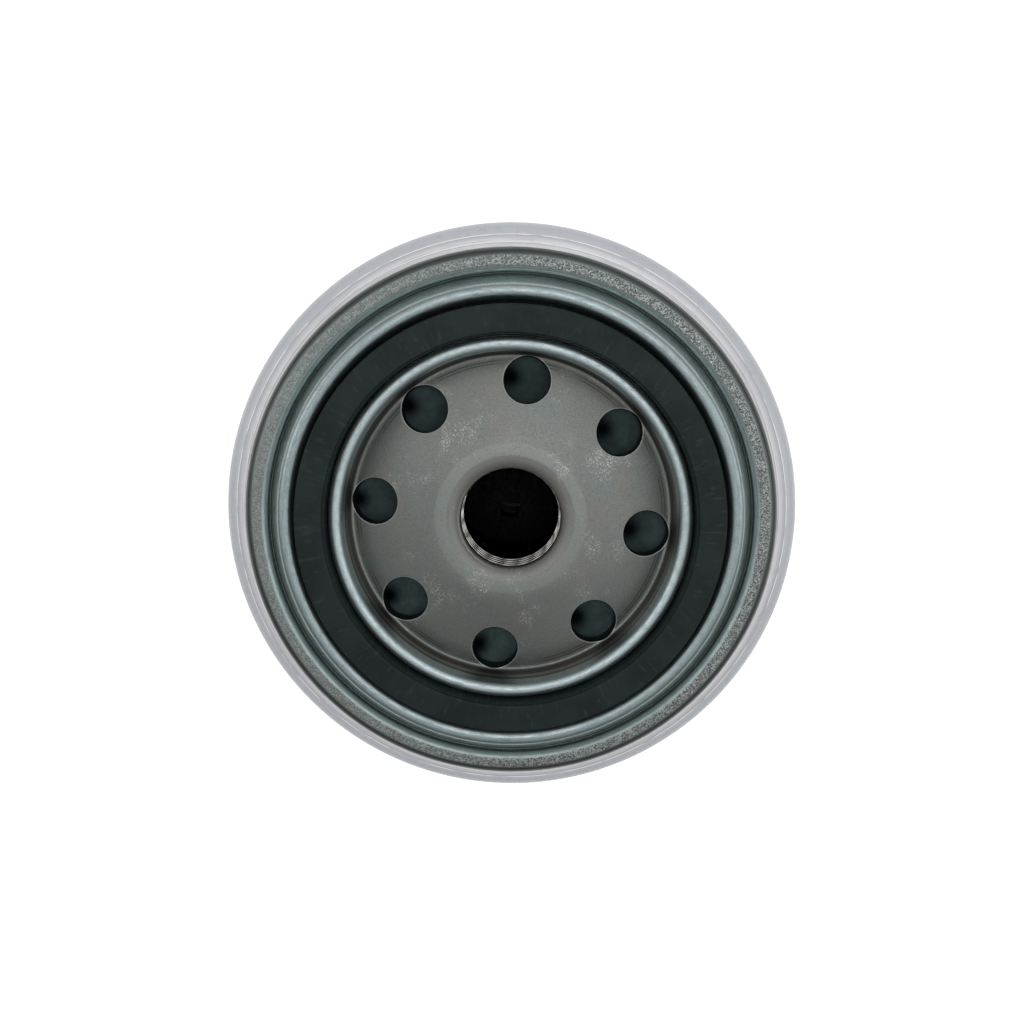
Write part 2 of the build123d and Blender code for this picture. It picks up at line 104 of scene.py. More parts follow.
THREAD_MINOR = 8.7
THREAD_MAJOR = 9.525
THREAD_PITCH = 1.5875
THREAD_FLANK = 30.0           # degrees from the groove's middle plane
THREAD_RUN_IN = 0.4           # plain length left at each end of the bore
NECK_WALL = 2.6
NECK_BELOW_PANEL = 6.7
NECK_ENTRY_ROUND = 2.5
NECK_ROOT_ROUND = 1.5
NECK_LAND_RADIUS = 13.4
NECK_LAND_ROUND = 18.0
INLET_COUNT = 8
INLET_RADIUS = 4.02
INLET_CIRCLE = 24.1
INLET_EDGE_ROUND = 0.22
INLET_UNDER_ROUND = 0.12
PANEL_SLOPE = 12.4
DISH_DEPTH = 3.05
DISH_FOOT_RADIUS = 28.4
DISH_MOUTH_RADIUS = 29.1
DISH_MOUTH_ROUND = 1.0
FOOT_DRAW = 0.4
FOOT_INNER_ROUND = 0.6
FOOT_OUTER_ROUND = 1.2
FLANGE_ROOT_ROUND = 0.8
FLANGE_CLEARANCE = 0.5
PLATE_EDGE_ROUND = 0.5
NECK_TIP_ROUND = 0.3

SHOULDER_GAP = 0.3
SHOULDER_ROUND = 2.5
NECK_ROUND = 0.9
HEEL_ROUND = 9.0
STANDING_RING_RADIUS = 33.0
RECESS_DEPTH = 2.5
RECESS_WALL_RUN = 2.5
RECESS_ROUND = 1.5
FLUTE_COUNT = 15
FLUTE_RADIUS = 10.0
FLUTE_DEPTH = 1.4
FLUTE_TOP = 26.0
FLUTE_EDGE_BLEND = 0.7
FLUTE_MARGIN = 0.9            # length above the flutes that is still finely meshed

RUBBER_THICKNESS = 1.3
HUB_WALL = 2.8
MEMBRANE_ROOT = 4.3
LIP_RADIUS = 30.3
LIP_WIDTH = 1.7
LIP_HEIGHT = 1.9
RUBBER_EDGE_ROUND = 0.4
ROOT_ROUND = 0.6
LIP_ROUND = 0.2
ROOT_SINK = 0.15              # how far the membrane's root reaches into the hub

BYPASS_WIRE = 0.8
BYPASS_COIL_RADIUS = 5.5
BYPASS_TURNS = 3.5

# how finely the pieces are meshed
WELD_DISTANCE = 0.0015
SLIVER_SIZE = 1e-5
SHEET_ARC_STEP = 9.0          # degrees
FLUTE_STEP = 1.0
CAN_STEP = 6.0
GASKET_STEP = 0.8
PLATE_STEP = 1.2
FLANGE_STEP = 1.0
HUB_STEP = 1.5
FLAP_STEP = 1.0
CAN_COLUMNS = 390
LID_COLUMNS = 384
GASKET_COLUMNS = 480
PLATE_COLUMNS = 224           # a multiple of the inlet holes
HUB_COLUMNS = 192
MEMBRANE_SECTORS = 16
FLAP_STEPS = 12
THREAD_ROWS = 20              # rows in one pitch of the thread
SECTOR_INNER = 19.0      # radii where the ring of holes joins the rest of the plate
SECTOR_OUTER = 28.4
HOLE_SIDE_STEPS = 24          # steps along each side of a hole's sector
HOLE_EDGE_STEPS = 4
HOLE_UNDER_STEPS = 3
WEB_SHARES = (0.0, 0.015, 0.03, 0.05, 0.075, 0.11, 0.2, 0.36, 0.54, 0.7, 0.82, 0.92, 1.0)
COIL_STEPS = 40               # steps in one turn of the bypass spring
WIRE_STEPS = 12

# levels and radii that follow
gasket_face = cad_top("base_gasket")
channel_floor = cad_low("base_gasket")
flange_top = channel_floor - LID_SHEET
flange_bottom = flange_top - PLATE_THICKNESS
panel_level = flange_top - DISH_DEPTH
panel_fall = tan(radians(PANEL_SLOPE))
land_level = panel_level + (INLET_CIRCLE - NECK_LAND_RADIUS) * panel_fall
foot_level = panel_level + (INLET_CIRCLE - DISH_FOOT_RADIUS) * panel_fall
neck_bottom = panel_level - NECK_BELOW_PANEL
neck_outer = THREAD_MINOR + NECK_WALL
can_radius = CAN_DIAMETER / 2
seam_top = channel_floor + SEAM_TOP
seam_bottom = seam_top - SEAM_HEIGHT
layer_step = LID_SHEET / 2 + CONTACT_GAP + CAN_WALL / 2
chuck_wall = SEAM_INNER_RADIUS + LID_SHEET / 2
can_neck = chuck_wall + layer_step
cover_hook = can_neck + layer_step
body_hook = cover_hook + layer_step
seam_wall = body_hook + layer_step
seam_outer = seam_wall + LID_SHEET / 2
body_hook_top = seam_top - LID_SHEET - BODY_HOOK_DROP - CAN_WALL / 2
shoulder_level = seam_bottom - SHOULDER_GAP - CAN_WALL / 2
plate_edge = can_neck - CAN_WALL / 2 - FLANGE_CLEARANCE
hub_bore = neck_outer + RUNNING_GAP
hub_outer = hub_bore + HUB_WALL
hub_top = cad_top("anti_drainback_valve")
hub_bottom = cad_low("anti_drainback_valve")


# ---- outlines
def offset_corners(points, distance):
    """Corners of a polyline moved sideways by distance, to the left of its direction."""
    moved = []
    for index, (r, z) in enumerate(points):
        before = points[max(index - 1, 0)]
        after = points[min(index + 1, len(points) - 1)]
        normals = []
        for start, end in ((before, (r, z)), ((r, z), after)):
            length = hypot(end[0] - start[0], end[1] - start[1])
            if length > 0:
                normals.append((-(end[1] - start[1]) / length, (end[0] - start[0]) / length))
        first, last = normals[0], normals[-1]
        share = distance / (1 + first[0] * last[0] + first[1] * last[1])
        moved.append((r + (first[0] + last[0]) * share, z + (first[1] + last[1]) * share))
    return moved


def bend(before, corner, after, radius, arc_step):
    """Points of the arc that rounds one corner of a polyline."""
    u = Vector(before) - Vector(corner)
    v = Vector(after) - Vector(corner)
    u.normalize()
    v.normalize()
    opening = u.angle(v)
    if radius < 1e-4 or opening > pi - 1e-3:
        return [tuple(corner)]
    turn = pi - opening
    tangent = radius / tan(opening / 2)
    start = Vector(corner) + u * tangent
    middle = (u + v).normalized()
    centre = Vector(corner) + middle * (radius / sin(opening / 2))
    arm = start - centre
    side = 1 if arm.x * (-u.y) - arm.y * (-u.x) > 0 else -1
    steps = max(3, int(turn / radians(arc_step)) + 1)
    points = []
    for k in range(steps + 1):
        angle = side * turn * k / steps
        points.append((
            centre.x + arm.x * cos(angle) - arm.y * sin(angle),
            centre.y + arm.x * sin(angle) + arm.y * cos(angle),
        ))
    return points


def rounded_line(points, rounds):
    """Open polyline with each inner corner rounded."""
    line = [tuple(points[0])]
    for index, radius in enumerate(rounds):
        line += bend(points[index], points[index + 1], points[index + 2], radius, SHEET_ARC_STEP)
    return line + [tuple(points[-1])]


def rounded_loop(points, rounds, arc_step):
    """Closed polyline with every corner rounded."""
    count = len(points)
    line = []
    for index, radius in enumerate(rounds):
        line += bend(points[index - 1], points[index], points[(index + 1) % count], radius, arc_step)
    return line


def sheet_side(points, rounds, distance):
    """One rounded face line of a sheet, at distance to the left of its middle line."""
    corners = offset_corners(points, distance)
    side_rounds = []
    for index, radius in enumerate(rounds):
        a, b, c = points[index:index + 3]
        left = (b[0] - a[0]) * (c[1] - b[1]) - (b[1] - a[1]) * (c[0] - b[0]) > 0
        side_rounds.append(radius - distance if left else radius + distance)
    return rounded_line(corners, side_rounds)


def sheet_outline(points, rounds, thickness):
    """Closed outline of a pressed sheet round its middle line."""
    left = sheet_side(points, rounds, thickness / 2)
    right = sheet_side(points, rounds, -thickness / 2)
    return left + right[::-1]


def divided(points, longest, closed=True):
    """The same outline with no step longer than longest."""
    line = []
    count = len(points)
    for index in range(count if closed else count - 1):
        a, b = points[index], points[(index + 1) % count]
        steps = max(1, int(hypot(b[0] - a[0], b[1] - a[1]) / longest) + 1)
        line += [(a[0] + (b[0] - a[0]) * k / steps, a[1] + (b[1] - a[1]) * k / steps) for k in range(steps)]
    return line if closed else line + [points[-1]]


# ---- meshes
class Mesh:
    """Collects vertices and faces, in mm, and makes one closed Blender mesh of them."""

    def __init__(self, name):
        self.name = name
        self.verts = []
        self.faces = []

    def grid(self, rows, closed_rows=False, closed_columns=True):
        """Adds a grid of quads; rows is a list of equally long lists of points."""
        start = len(self.verts)
        height, width = len(rows), len(rows[0])
        for row in rows:
            self.verts += row
        for i in range(height if closed_rows else height - 1):
            below = (i + 1) % height
            for j in range(width if closed_columns else width - 1):
                beside = (j + 1) % width
                self.faces.append((
                    start + i * width + j, start + i * width + beside,
                    start + below * width + beside, start + below * width + j,
                ))

    def spin(self, outline, segments, closed=False, shape=None):
        """Adds a surface of revolution of (r, z) points; shape may move each point."""
        rows = []
        for r, z in outline:
            row = []
            for j in range(segments):
                angle = 2 * pi * j / segments
                rr, zz = shape(r, z, angle) if shape else (r, z)
                row.append((rr * cos(angle), rr * sin(angle), zz))
            rows.append(row)
        self.grid(rows, closed_rows=closed)

    def make(self, material, sharp=38.0):
        """Makes the object, welds its seams and shades it smooth between sharp edges."""
        mesh = bpy.data.meshes.new(self.name)
        mesh.from_pydata([(x * MM, y * MM, z * MM) for x, y, z in self.verts], [], self.faces)
        work = bmesh.new()
        work.from_mesh(mesh)
        bmesh.ops.remove_doubles(work, verts=work.verts, dist=WELD_DISTANCE * MM)
        bmesh.ops.dissolve_degenerate(work, dist=SLIVER_SIZE * MM, edges=work.edges)
        bmesh.ops.recalc_face_normals(work, faces=work.faces)
        work.to_mesh(mesh)
        work.free()
        mesh.polygons.foreach_set("use_smooth", [True] * len(mesh.polygons))
        mesh.set_sharp_from_angle(angle=radians(sharp))
        mesh.materials.append(material)
        piece = bpy.data.objects.new(self.name, mesh)
        bpy.context.scene.collection.objects.link(piece)
        return piece


def stand_in(piece, node, body):
    """The piece stands for a CAD node, which it hides, and moves with its body."""
    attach(piece, body)
    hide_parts(node)


# ---- shader helpers
WHITE = (1.0, 1.0, 1.0)


def grey(value, tint=WHITE):
    return tuple(value * part for part in tint)


class Nodes:
    """Short ways to add nodes to a tree."""

    def __init__(self, tree):
        self.tree = tree

    def link(self, output, socket):
        self.tree.links.new(output, socket)

    def node(self, kind, **settings):
        made = self.tree.nodes.new(kind)
        for key, value in settings.items():
            setattr(made, key, value)
        return made

    def value(self, source, socket):
        """Sets a socket to a number, or links it to an output."""
        if isinstance(source, (int, float)):
            socket.default_value = source
        else:
            self.link(source, socket)

    def math(self, operation, a, b=0.0, clamp=False):
        made = self.node("ShaderNodeMath", operation=operation, use_clamp=clamp)
        self.value(a, made.inputs[0])
        self.value(b, made.inputs[1])
        return made.outputs[0]

    def product(self, first, *others):
        """All sources multiplied together."""
        for other in others:
            first = self.math("MULTIPLY", first, other)
        return first

    def union(self, first, *others):
        """All sources added up, clamped to 1."""
        for other in others:
            first = self.math("ADD", first, other, clamp=True)
        return first

    def split(self, vector):
        """The x, y and z outputs of a vector, or a colour's red, green and blue."""
        made = self.node("ShaderNodeSeparateXYZ")
        self.link(vector, made.inputs[0])
        return made.outputs

    def joined(self, x, y, z):
        made = self.node("ShaderNodeCombineXYZ")
        for source, socket in zip((x, y, z), made.inputs):
            self.value(source, socket)
        return made.outputs[0]

    def length(self, x, y):
        return self.math("SQRT", self.math("ADD", self.product(x, x), self.product(y, y)))

    def noise(self, vector, scale, detail, roughness=0.5):
        made = self.node("ShaderNodeTexNoise")
        for socket, number in (("Scale", scale), ("Detail", detail), ("Roughness", roughness)):
            made.inputs[socket].default_value = number
        self.link(vector, made.inputs["Vector"])
        return made.outputs["Fac"]

    def between(self, value, low, high, out_low=0.0, out_high=1.0):
        """The value mapped from low..high to out_low..out_high, eased and clamped."""
        made = self.node("ShaderNodeMapRange", interpolation_type="SMOOTHSTEP")
        self.value(value, made.inputs["Value"])
        sockets = ("From Min", "From Max", "To Min", "To Max")
        for socket, number in zip(sockets, (low, high, out_low, out_high)):
            made.inputs[socket].default_value = number
        return made.outputs["Result"]

    def band(self, value, low, high, soft):
        """1 between low and high, falling to 0 over soft on each side."""
        rise = self.between(value, low - soft, low)
        fall = self.between(value, high, high + soft, 1.0, 0.0)
        return self.product(rise, fall)

    def mix(self, factor, first, second, blend="MIX"):
        """Two colours mixed; each is a tuple or an output."""
        made = self.node("ShaderNodeMix", data_type="RGBA", blend_type=blend)
        self.value(factor, made.inputs[0])
        for source, socket in ((first, made.inputs[6]), (second, made.inputs[7])):
            if isinstance(source, tuple):
                socket.default_value = (*source, 1)
            else:
                self.link(source, socket)
        return made.outputs[2]

    def varied(self, colour, share, low, high):
        """The colour times low where share is 0, and times high where it is 1."""
        return self.mix(1.0, colour, self.mix(share, grey(low), grey(high)), blend="MULTIPLY")

    def ramp(self, value, stops):
        made = self.node("ShaderNodeValToRGB")
        while len(made.color_ramp.elements) < len(stops):
            made.color_ramp.elements.new(0.5)
        for element, (position, colour) in zip(made.color_ramp.elements, stops):
            element.position = position
            element.color = (*colour, 1)
        self.value(value, made.inputs["Fac"])
        return made.outputs["Color"]

    def bump(self, height, distance_mm, strength, under=None):
        """A normal from a height; under is a bump to start from."""
        made = self.node("ShaderNodeBump")
        made.inputs["Strength"].default_value = strength
        made.inputs["Distance"].default_value = distance_mm * MM
        self.link(height, made.inputs["Height"])
        if under is not None:
            self.link(under, made.inputs["Normal"])
        return made.outputs["Normal"]


class Shader(Nodes):
    """A Principled material. Its places are in mm, in the frame's axes."""

    def __init__(self, name, colour, metallic=0.0, roughness=0.5):
        self.material = bpy.data.materials.new(name)
        self.material.use_nodes = True
        super().__init__(self.material.node_tree)
        self.surface = self.tree.nodes["Principled BSDF"]
        self.set("Base Color", (*colour, 1))
        self.set("Metallic", metallic)
        self.set("Roughness", roughness)
        in_mm = self.node("ShaderNodeVectorMath", operation="SCALE")
        in_mm.inputs["Scale"].default_value = 1 / MM
        self.link(self.node("ShaderNodeTexCoord").outputs["Object"], in_mm.inputs[0])
        self.place = in_mm.outputs[0]

    def set(self, socket, value):
        self.surface.inputs[socket].default_value = value

    def feed(self, output, socket):
        """Links an output to a socket of the surface."""
        self.link(output, self.surface.inputs[socket])

    def polar(self):
        """Radius and height in mm, and the unit direction from the axis."""
        x, y, z = self.split(self.place)
        radius = self.length(x, y)
        divisor = self.math("MAXIMUM", radius, 1e-3)
        return radius, z, self.math("DIVIDE", x, divisor), self.math("DIVIDE", y, divisor)

    def wrapped(self, across, along, spread, depth):
        """A texture's place wrapped round the axis: the larger the spread, the finer round the ring."""
        return self.joined(self.product(across, spread), self.product(along, spread), depth)

    def beside_inlet(self, radius, across, along):
        """Offsets in x and y, in mm, from the nearest inlet hole's centre."""
        pitch = 2 * pi / INLET_COUNT
        turn = self.math("ROUND", self.math("DIVIDE", self.math("ARCTAN2", along, across), pitch))
        turn = self.product(turn, pitch)
        offsets = []
        for direction, part in ((across, "COSINE"), (along, "SINE")):
            centre = self.product(self.math(part, turn), INLET_CIRCLE)
            offsets.append(self.math("SUBTRACT", self.product(radius, direction), centre))
        return offsets

    def cell_tone(self, scale):
        """One random number from 0 to 1 for each small cell of space."""
        made = self.node("ShaderNodeTexVoronoi")
        made.inputs["Scale"].default_value = scale
        self.link(self.place, made.inputs["Vector"])
        return self.split(made.outputs["Color"])[0]


# ---- the can's enamel
ENAMEL_DARK = (0.450, 0.468, 0.500)
ENAMEL_LIGHT = (0.505, 0.522, 0.555)
ENAMEL_PAINTED_LIGHT_STRIP = (0.70, 0.70, 0.73)
ENAMEL_SCUFF = (0.36, 0.30, 0.33)
ENAMEL_DARK_LINE = (0.33, 0.30, 0.33)
ENAMEL_PAINTED_HIGHLIGHT = (0.86, 0.83, 0.85)
# bright broken circles painted as highlights, and thin dark circles, on the shoulder
HIGHLIGHT_CIRCLES = ((1.22, 1.30), (2.42, 2.50))        # mm out from the seam
DARK_LINE_CIRCLES = ((1.05, 1.10), (2.28, 2.34))


def enamel():
    """Pale stoved enamel, with thin dark circles and painted highlights on the shoulder."""
    paint = Shader("pale_enamel", grey(0.5), roughness=0.3)
    radius, level, across, along = paint.polar()
    on_shoulder = paint.between(level, shoulder_level - 3.0, shoulder_level - 2.0)
    cloud = paint.noise(paint.place, 0.16, detail=3.0)
    look = paint.mix(cloud, ENAMEL_DARK, ENAMEL_LIGHT)

    # a paler strip beside the seam: painted light that stands for a reflection and lifts the shade beside the
    # seam, with faint scuffs
    painted_light_strip = paint.product(paint.between(radius, seam_outer + 1.5, seam_outer + 2.2, 1.0, 0.0), on_shoulder)
    look = paint.mix(painted_light_strip, look, ENAMEL_PAINTED_LIGHT_STRIP)
    streak = paint.noise(paint.wrapped(across, along, 2.0, paint.product(radius, 1.7)), 2.6, detail=2.0)
    scuffs = paint.product(paint.between(streak, 0.55, 0.66), painted_light_strip, 0.4)
    look = paint.mix(scuffs, look, ENAMEL_SCUFF)

    # thin dark circles, and bright broken circles that are painted highlights
    circles = [paint.band(radius, seam_outer + low, seam_outer + high, 0.05) for low, high in DARK_LINE_CIRCLES]
    look = paint.mix(paint.product(paint.union(*circles), on_shoulder, 0.6), look, ENAMEL_DARK_LINE)
    circles = [paint.band(radius, seam_outer + low, seam_outer + high, 0.07) for low, high in HIGHLIGHT_CIRCLES]
    break_up = paint.noise(paint.wrapped(across, along, 9.0, 0.0), 1.0, detail=2.0)
    painted_highlights = paint.product(paint.union(*circles), on_shoulder, paint.between(break_up, 0.36, 0.52))
    paint.feed(paint.mix(painted_highlights, look, ENAMEL_PAINTED_HIGHLIGHT), "Base Color")

    gloss = paint.noise(paint.place, 0.5, detail=4.0)
    paint.feed(paint.between(gloss, 0.3, 0.7, 0.24, 0.36), "Roughness")
    peel = paint.noise(paint.place, 1.1, detail=1.5)
    paint.feed(paint.bump(peel, 0.02, 0.5), "Normal")
    return paint.material


# ---- the lid's zinc
ZINC_DEEP = (0.235, 0.285, 0.293)
ZINC_CLEAR = (0.285, 0.343, 0.350)
ZINC_WORN = (0.20, 0.243, 0.248)
ZINC_BEAD_HIGHLIGHT_LIGHT = (0.43, 0.505, 0.52)
ZINC_BEAD_HIGHLIGHT_DARK = (0.35, 0.415, 0.425)
ZINC_SLOPE_PAINTED_LIGHT = (0.74, 0.84, 0.82)
ZINC_OIL_AND_SHADE = (0.09, 0.105, 0.10)
ZINC_PAINTED_DARK_REFLECTION = (0.085, 0.095, 0.09)
SPANGLE_TONES = (
    (0.0, grey(0.03)), (0.35, grey(0.13)), (0.65, (0.29, 0.318, 0.310)), (1.0, (0.48, 0.52, 0.51)),
)
SPANGLE_SPECK = (0.13, 0.145, 0.14)
SPANGLE_EVENED_UNLIT = (0.205, 0.235, 0.225)


def zinc():
    """Zinc plating: two beads (the inner one painted brighter as a highlight), a slope painted pale as
    painted light, a groove darkened as painted shade with old oil, and a rough spangled band on the seam
    whose sparkle is painted to one side.
    """
    metal = Shader("zinc_plate", grey(0.45), metallic=1.0, roughness=0.3)
    radius, level, across, along = metal.polar()
    fine = metal.noise(metal.place, 2.4, detail=5.0, roughness=0.65)
    speck = metal.noise(metal.place, 9.0, detail=3.0, roughness=0.7)
    ring_place = metal.wrapped(across, along, 14.0, metal.product(radius, 1.4))
    drawn = metal.noise(ring_place, 1.6, detail=4.0, roughness=0.6)

    # the inner bead is painted brighter than what lies outside the gasket, as a painted highlight
    look = metal.mix(metal.noise(metal.place, 0.22, detail=3.0), ZINC_DEEP, ZINC_CLEAR)
    look = metal.mix(metal.between(drawn, 0.45, 0.75), look, ZINC_WORN)
    inner_bead_highlight = metal.mix(metal.between(drawn, 0.4, 0.75), ZINC_BEAD_HIGHLIGHT_LIGHT, ZINC_BEAD_HIGHLIGHT_DARK)
    look = metal.mix(metal.between(radius, GASKET_INNER, GASKET_OUTER), inner_bead_highlight, look)
    # the slope is painted pale, as painted light where it reflects the dark seam and groove
    pale_slope_light = metal.band(radius, SEAM_INNER_RADIUS - 2.0, SEAM_INNER_RADIUS - 0.5, 0.4)
    look = metal.mix(pale_slope_light, look, ZINC_SLOPE_PAINTED_LIGHT)
    mottle = metal.noise(metal.place, 4.5, detail=3.0, roughness=0.75)
    look = metal.varied(look, metal.between(mottle, 0.3, 0.7), 0.86, 1.14)

    # painted shade with old oil, low in the groove beside the seam, and the seam's outer side painted dark as
    # a painted reflection of dark surroundings
    groove = metal.band(radius, SEAM_INNER_RADIUS - 0.2, SEAM_INNER_RADIUS + 0.5, 0.25)
    low_down = metal.between(level, channel_floor + 2.2, channel_floor + 2.6, 1.0, 0.0)
    look = metal.mix(metal.product(groove, low_down, 0.6), look, ZINC_OIL_AND_SHADE)
    dark_reflection_side = metal.between(radius, seam_outer - 1.6, seam_outer - 1.3)
    dark_reflection_side = metal.product(dark_reflection_side, metal.between(level, seam_bottom - 0.5, seam_bottom))
    look = metal.mix(dark_reflection_side, look, ZINC_PAINTED_DARK_REFLECTION)

    # the spangled band, its sparkle evened out towards -x so that it glints only towards +x, as painted light
    band = metal.band(radius, SEAM_INNER_RADIUS + 0.95, seam_outer - 1.65, 0.25)
    band = metal.product(band, metal.between(level, seam_top - 1.5, seam_top - 0.8))
    tone = metal.cell_tone(5.8)
    spangle = metal.ramp(tone, SPANGLE_TONES)
    spangle = metal.mix(metal.between(speck, 0.48, 0.68), spangle, SPANGLE_SPECK)
    spangle = metal.mix(metal.between(across, -1.0, 0.3, 0.65, 0.15), spangle, SPANGLE_EVENED_UNLIT)
    metal.feed(metal.mix(band, look, spangle), "Base Color")

    rough = metal.between(drawn, 0.3, 0.75, 0.32, 0.44)
    rough = metal.math("ADD", rough, metal.between(radius, GASKET_INNER, GASKET_OUTER, 0.10, 0.0))
    metal.feed(metal.math("ADD", rough, metal.product(band, 0.10)), "Roughness")
    pits = metal.math("ADD", metal.product(speck, 0.6), metal.product(tone, 0.4))
    grain = metal.bump(fine, 0.007, 0.7)
    metal.feed(metal.bump(metal.product(pits, band), 0.10, 0.8, under=grain), "Normal")
    return metal.material


# ---- the rubbers
SHADOW_SPOT_OFFSET = (3.0, 0.5)       # mm, from an inlet hole's centre to its painted shadow spot's, towards -x and -y
SHADOW_SPOT_CIRCLE_SHARE = 0.97       # the inlets' circle as a share of the spots' circle
SHADOW_SPOT_REACH = 6.0
SHADOW_SPOT_TONES = ((0.0, grey(0.10)), (0.20, grey(0.30)), (0.48, grey(1.05)), (0.75, grey(1.45)), (1.0, grey(0.8)))


def moulded_rubber(name, tone, tint, marks, gloss, smears, smear_scale, shine=WHITE, shadow_spots=False):
    """Dark rubber with faint radial mould marks, smears and a fine bloom."""
    rubber = Shader(name, grey(tone, tint), roughness=0.55)
    rubber.set("Specular IOR Level", gloss)
    rubber.set("Specular Tint", (*shine, 1))
    radius, _, across, along = rubber.polar()
    bloom = rubber.noise(rubber.place, 1.6, detail=5.0, roughness=0.6)
    look = rubber.mix(bloom, grey(tone * 0.6, tint), grey(tone * 1.35, tint))
    smear = rubber.between(rubber.noise(rubber.place, smear_scale, detail=3.0), 0.35, 0.65)
    look = rubber.varied(look, smear, 1 - smears, 1 + smears)
    streak = rubber.noise(rubber.wrapped(across, along, 34.0, rubber.product(radius, 0.25)), 1.5, detail=3.0)
    mould_marks = rubber.product(rubber.between(streak, 0.55, 0.72), marks)
    look = rubber.mix(mould_marks, look, grey(tone * 2.2, tint))
    if shadow_spots:
        # a painted shadow: a dark spot under each inlet hole, with a painted lighter ring round it
        x, y = rubber.beside_inlet(rubber.product(radius, SHADOW_SPOT_CIRCLE_SHARE), across, along)
        x = rubber.math("ADD", x, SHADOW_SPOT_OFFSET[0])
        y = rubber.math("ADD", y, SHADOW_SPOT_OFFSET[1])
        from_spot = rubber.length(x, y)
        tones = rubber.ramp(rubber.math("DIVIDE", from_spot, SHADOW_SPOT_REACH), SHADOW_SPOT_TONES)
        look = rubber.mix(1.0, look, tones, blend="MULTIPLY")
        rubber.feed(rubber.product(rubber.between(from_spot, 0.4, 3.2), gloss), "Specular IOR Level")
    rubber.feed(look, "Base Color")
    rubber.feed(rubber.between(bloom, 0.3, 0.7, 0.46, 0.62), "Roughness")
    ridges = rubber.bump(streak, 0.03, 0.35)
    rubber.feed(rubber.bump(bloom, 0.01, 0.5, under=ridges), "Normal")
    return rubber.material


# ---- the plate's steel
PANEL_COOL = (0.170, 0.187, 0.180)
PANEL_WARM = (0.175, 0.179, 0.168)
PANEL_LAND = (0.230, 0.255, 0.243)
PANEL_ENTRY_LIFT = (0.190, 0.172, 0.156)
PANEL_SPECK = (0.135, 0.142, 0.135)
PANEL_PAINTED_GLINT = (0.50, 0.51, 0.48)
PANEL_LINE = (0.05, 0.052, 0.05)
PANEL_LINES = (-1.65, -1.15)  # mm out from the dish's foot
WALL_BRIGHT = (0.40, 0.37, 0.335)
WALL_DARK = (0.10, 0.095, 0.088)
WALL_FOOT_SHADE = (0.075, 0.085, 0.08)
HOLE_LIP_HIGHLIGHT = (0.42, 0.44, 0.42)
HOLE_WALL_SHADOW = (0.050, 0.056, 0.055)
HOLE_OUTLINE_SHADE = (0.006, 0.007, 0.007)
THREAD_ROOT_SHADOW = (0.015, 0.014, 0.012)
THREAD_CREST_HIGHLIGHT = (0.94, 0.91, 0.86)


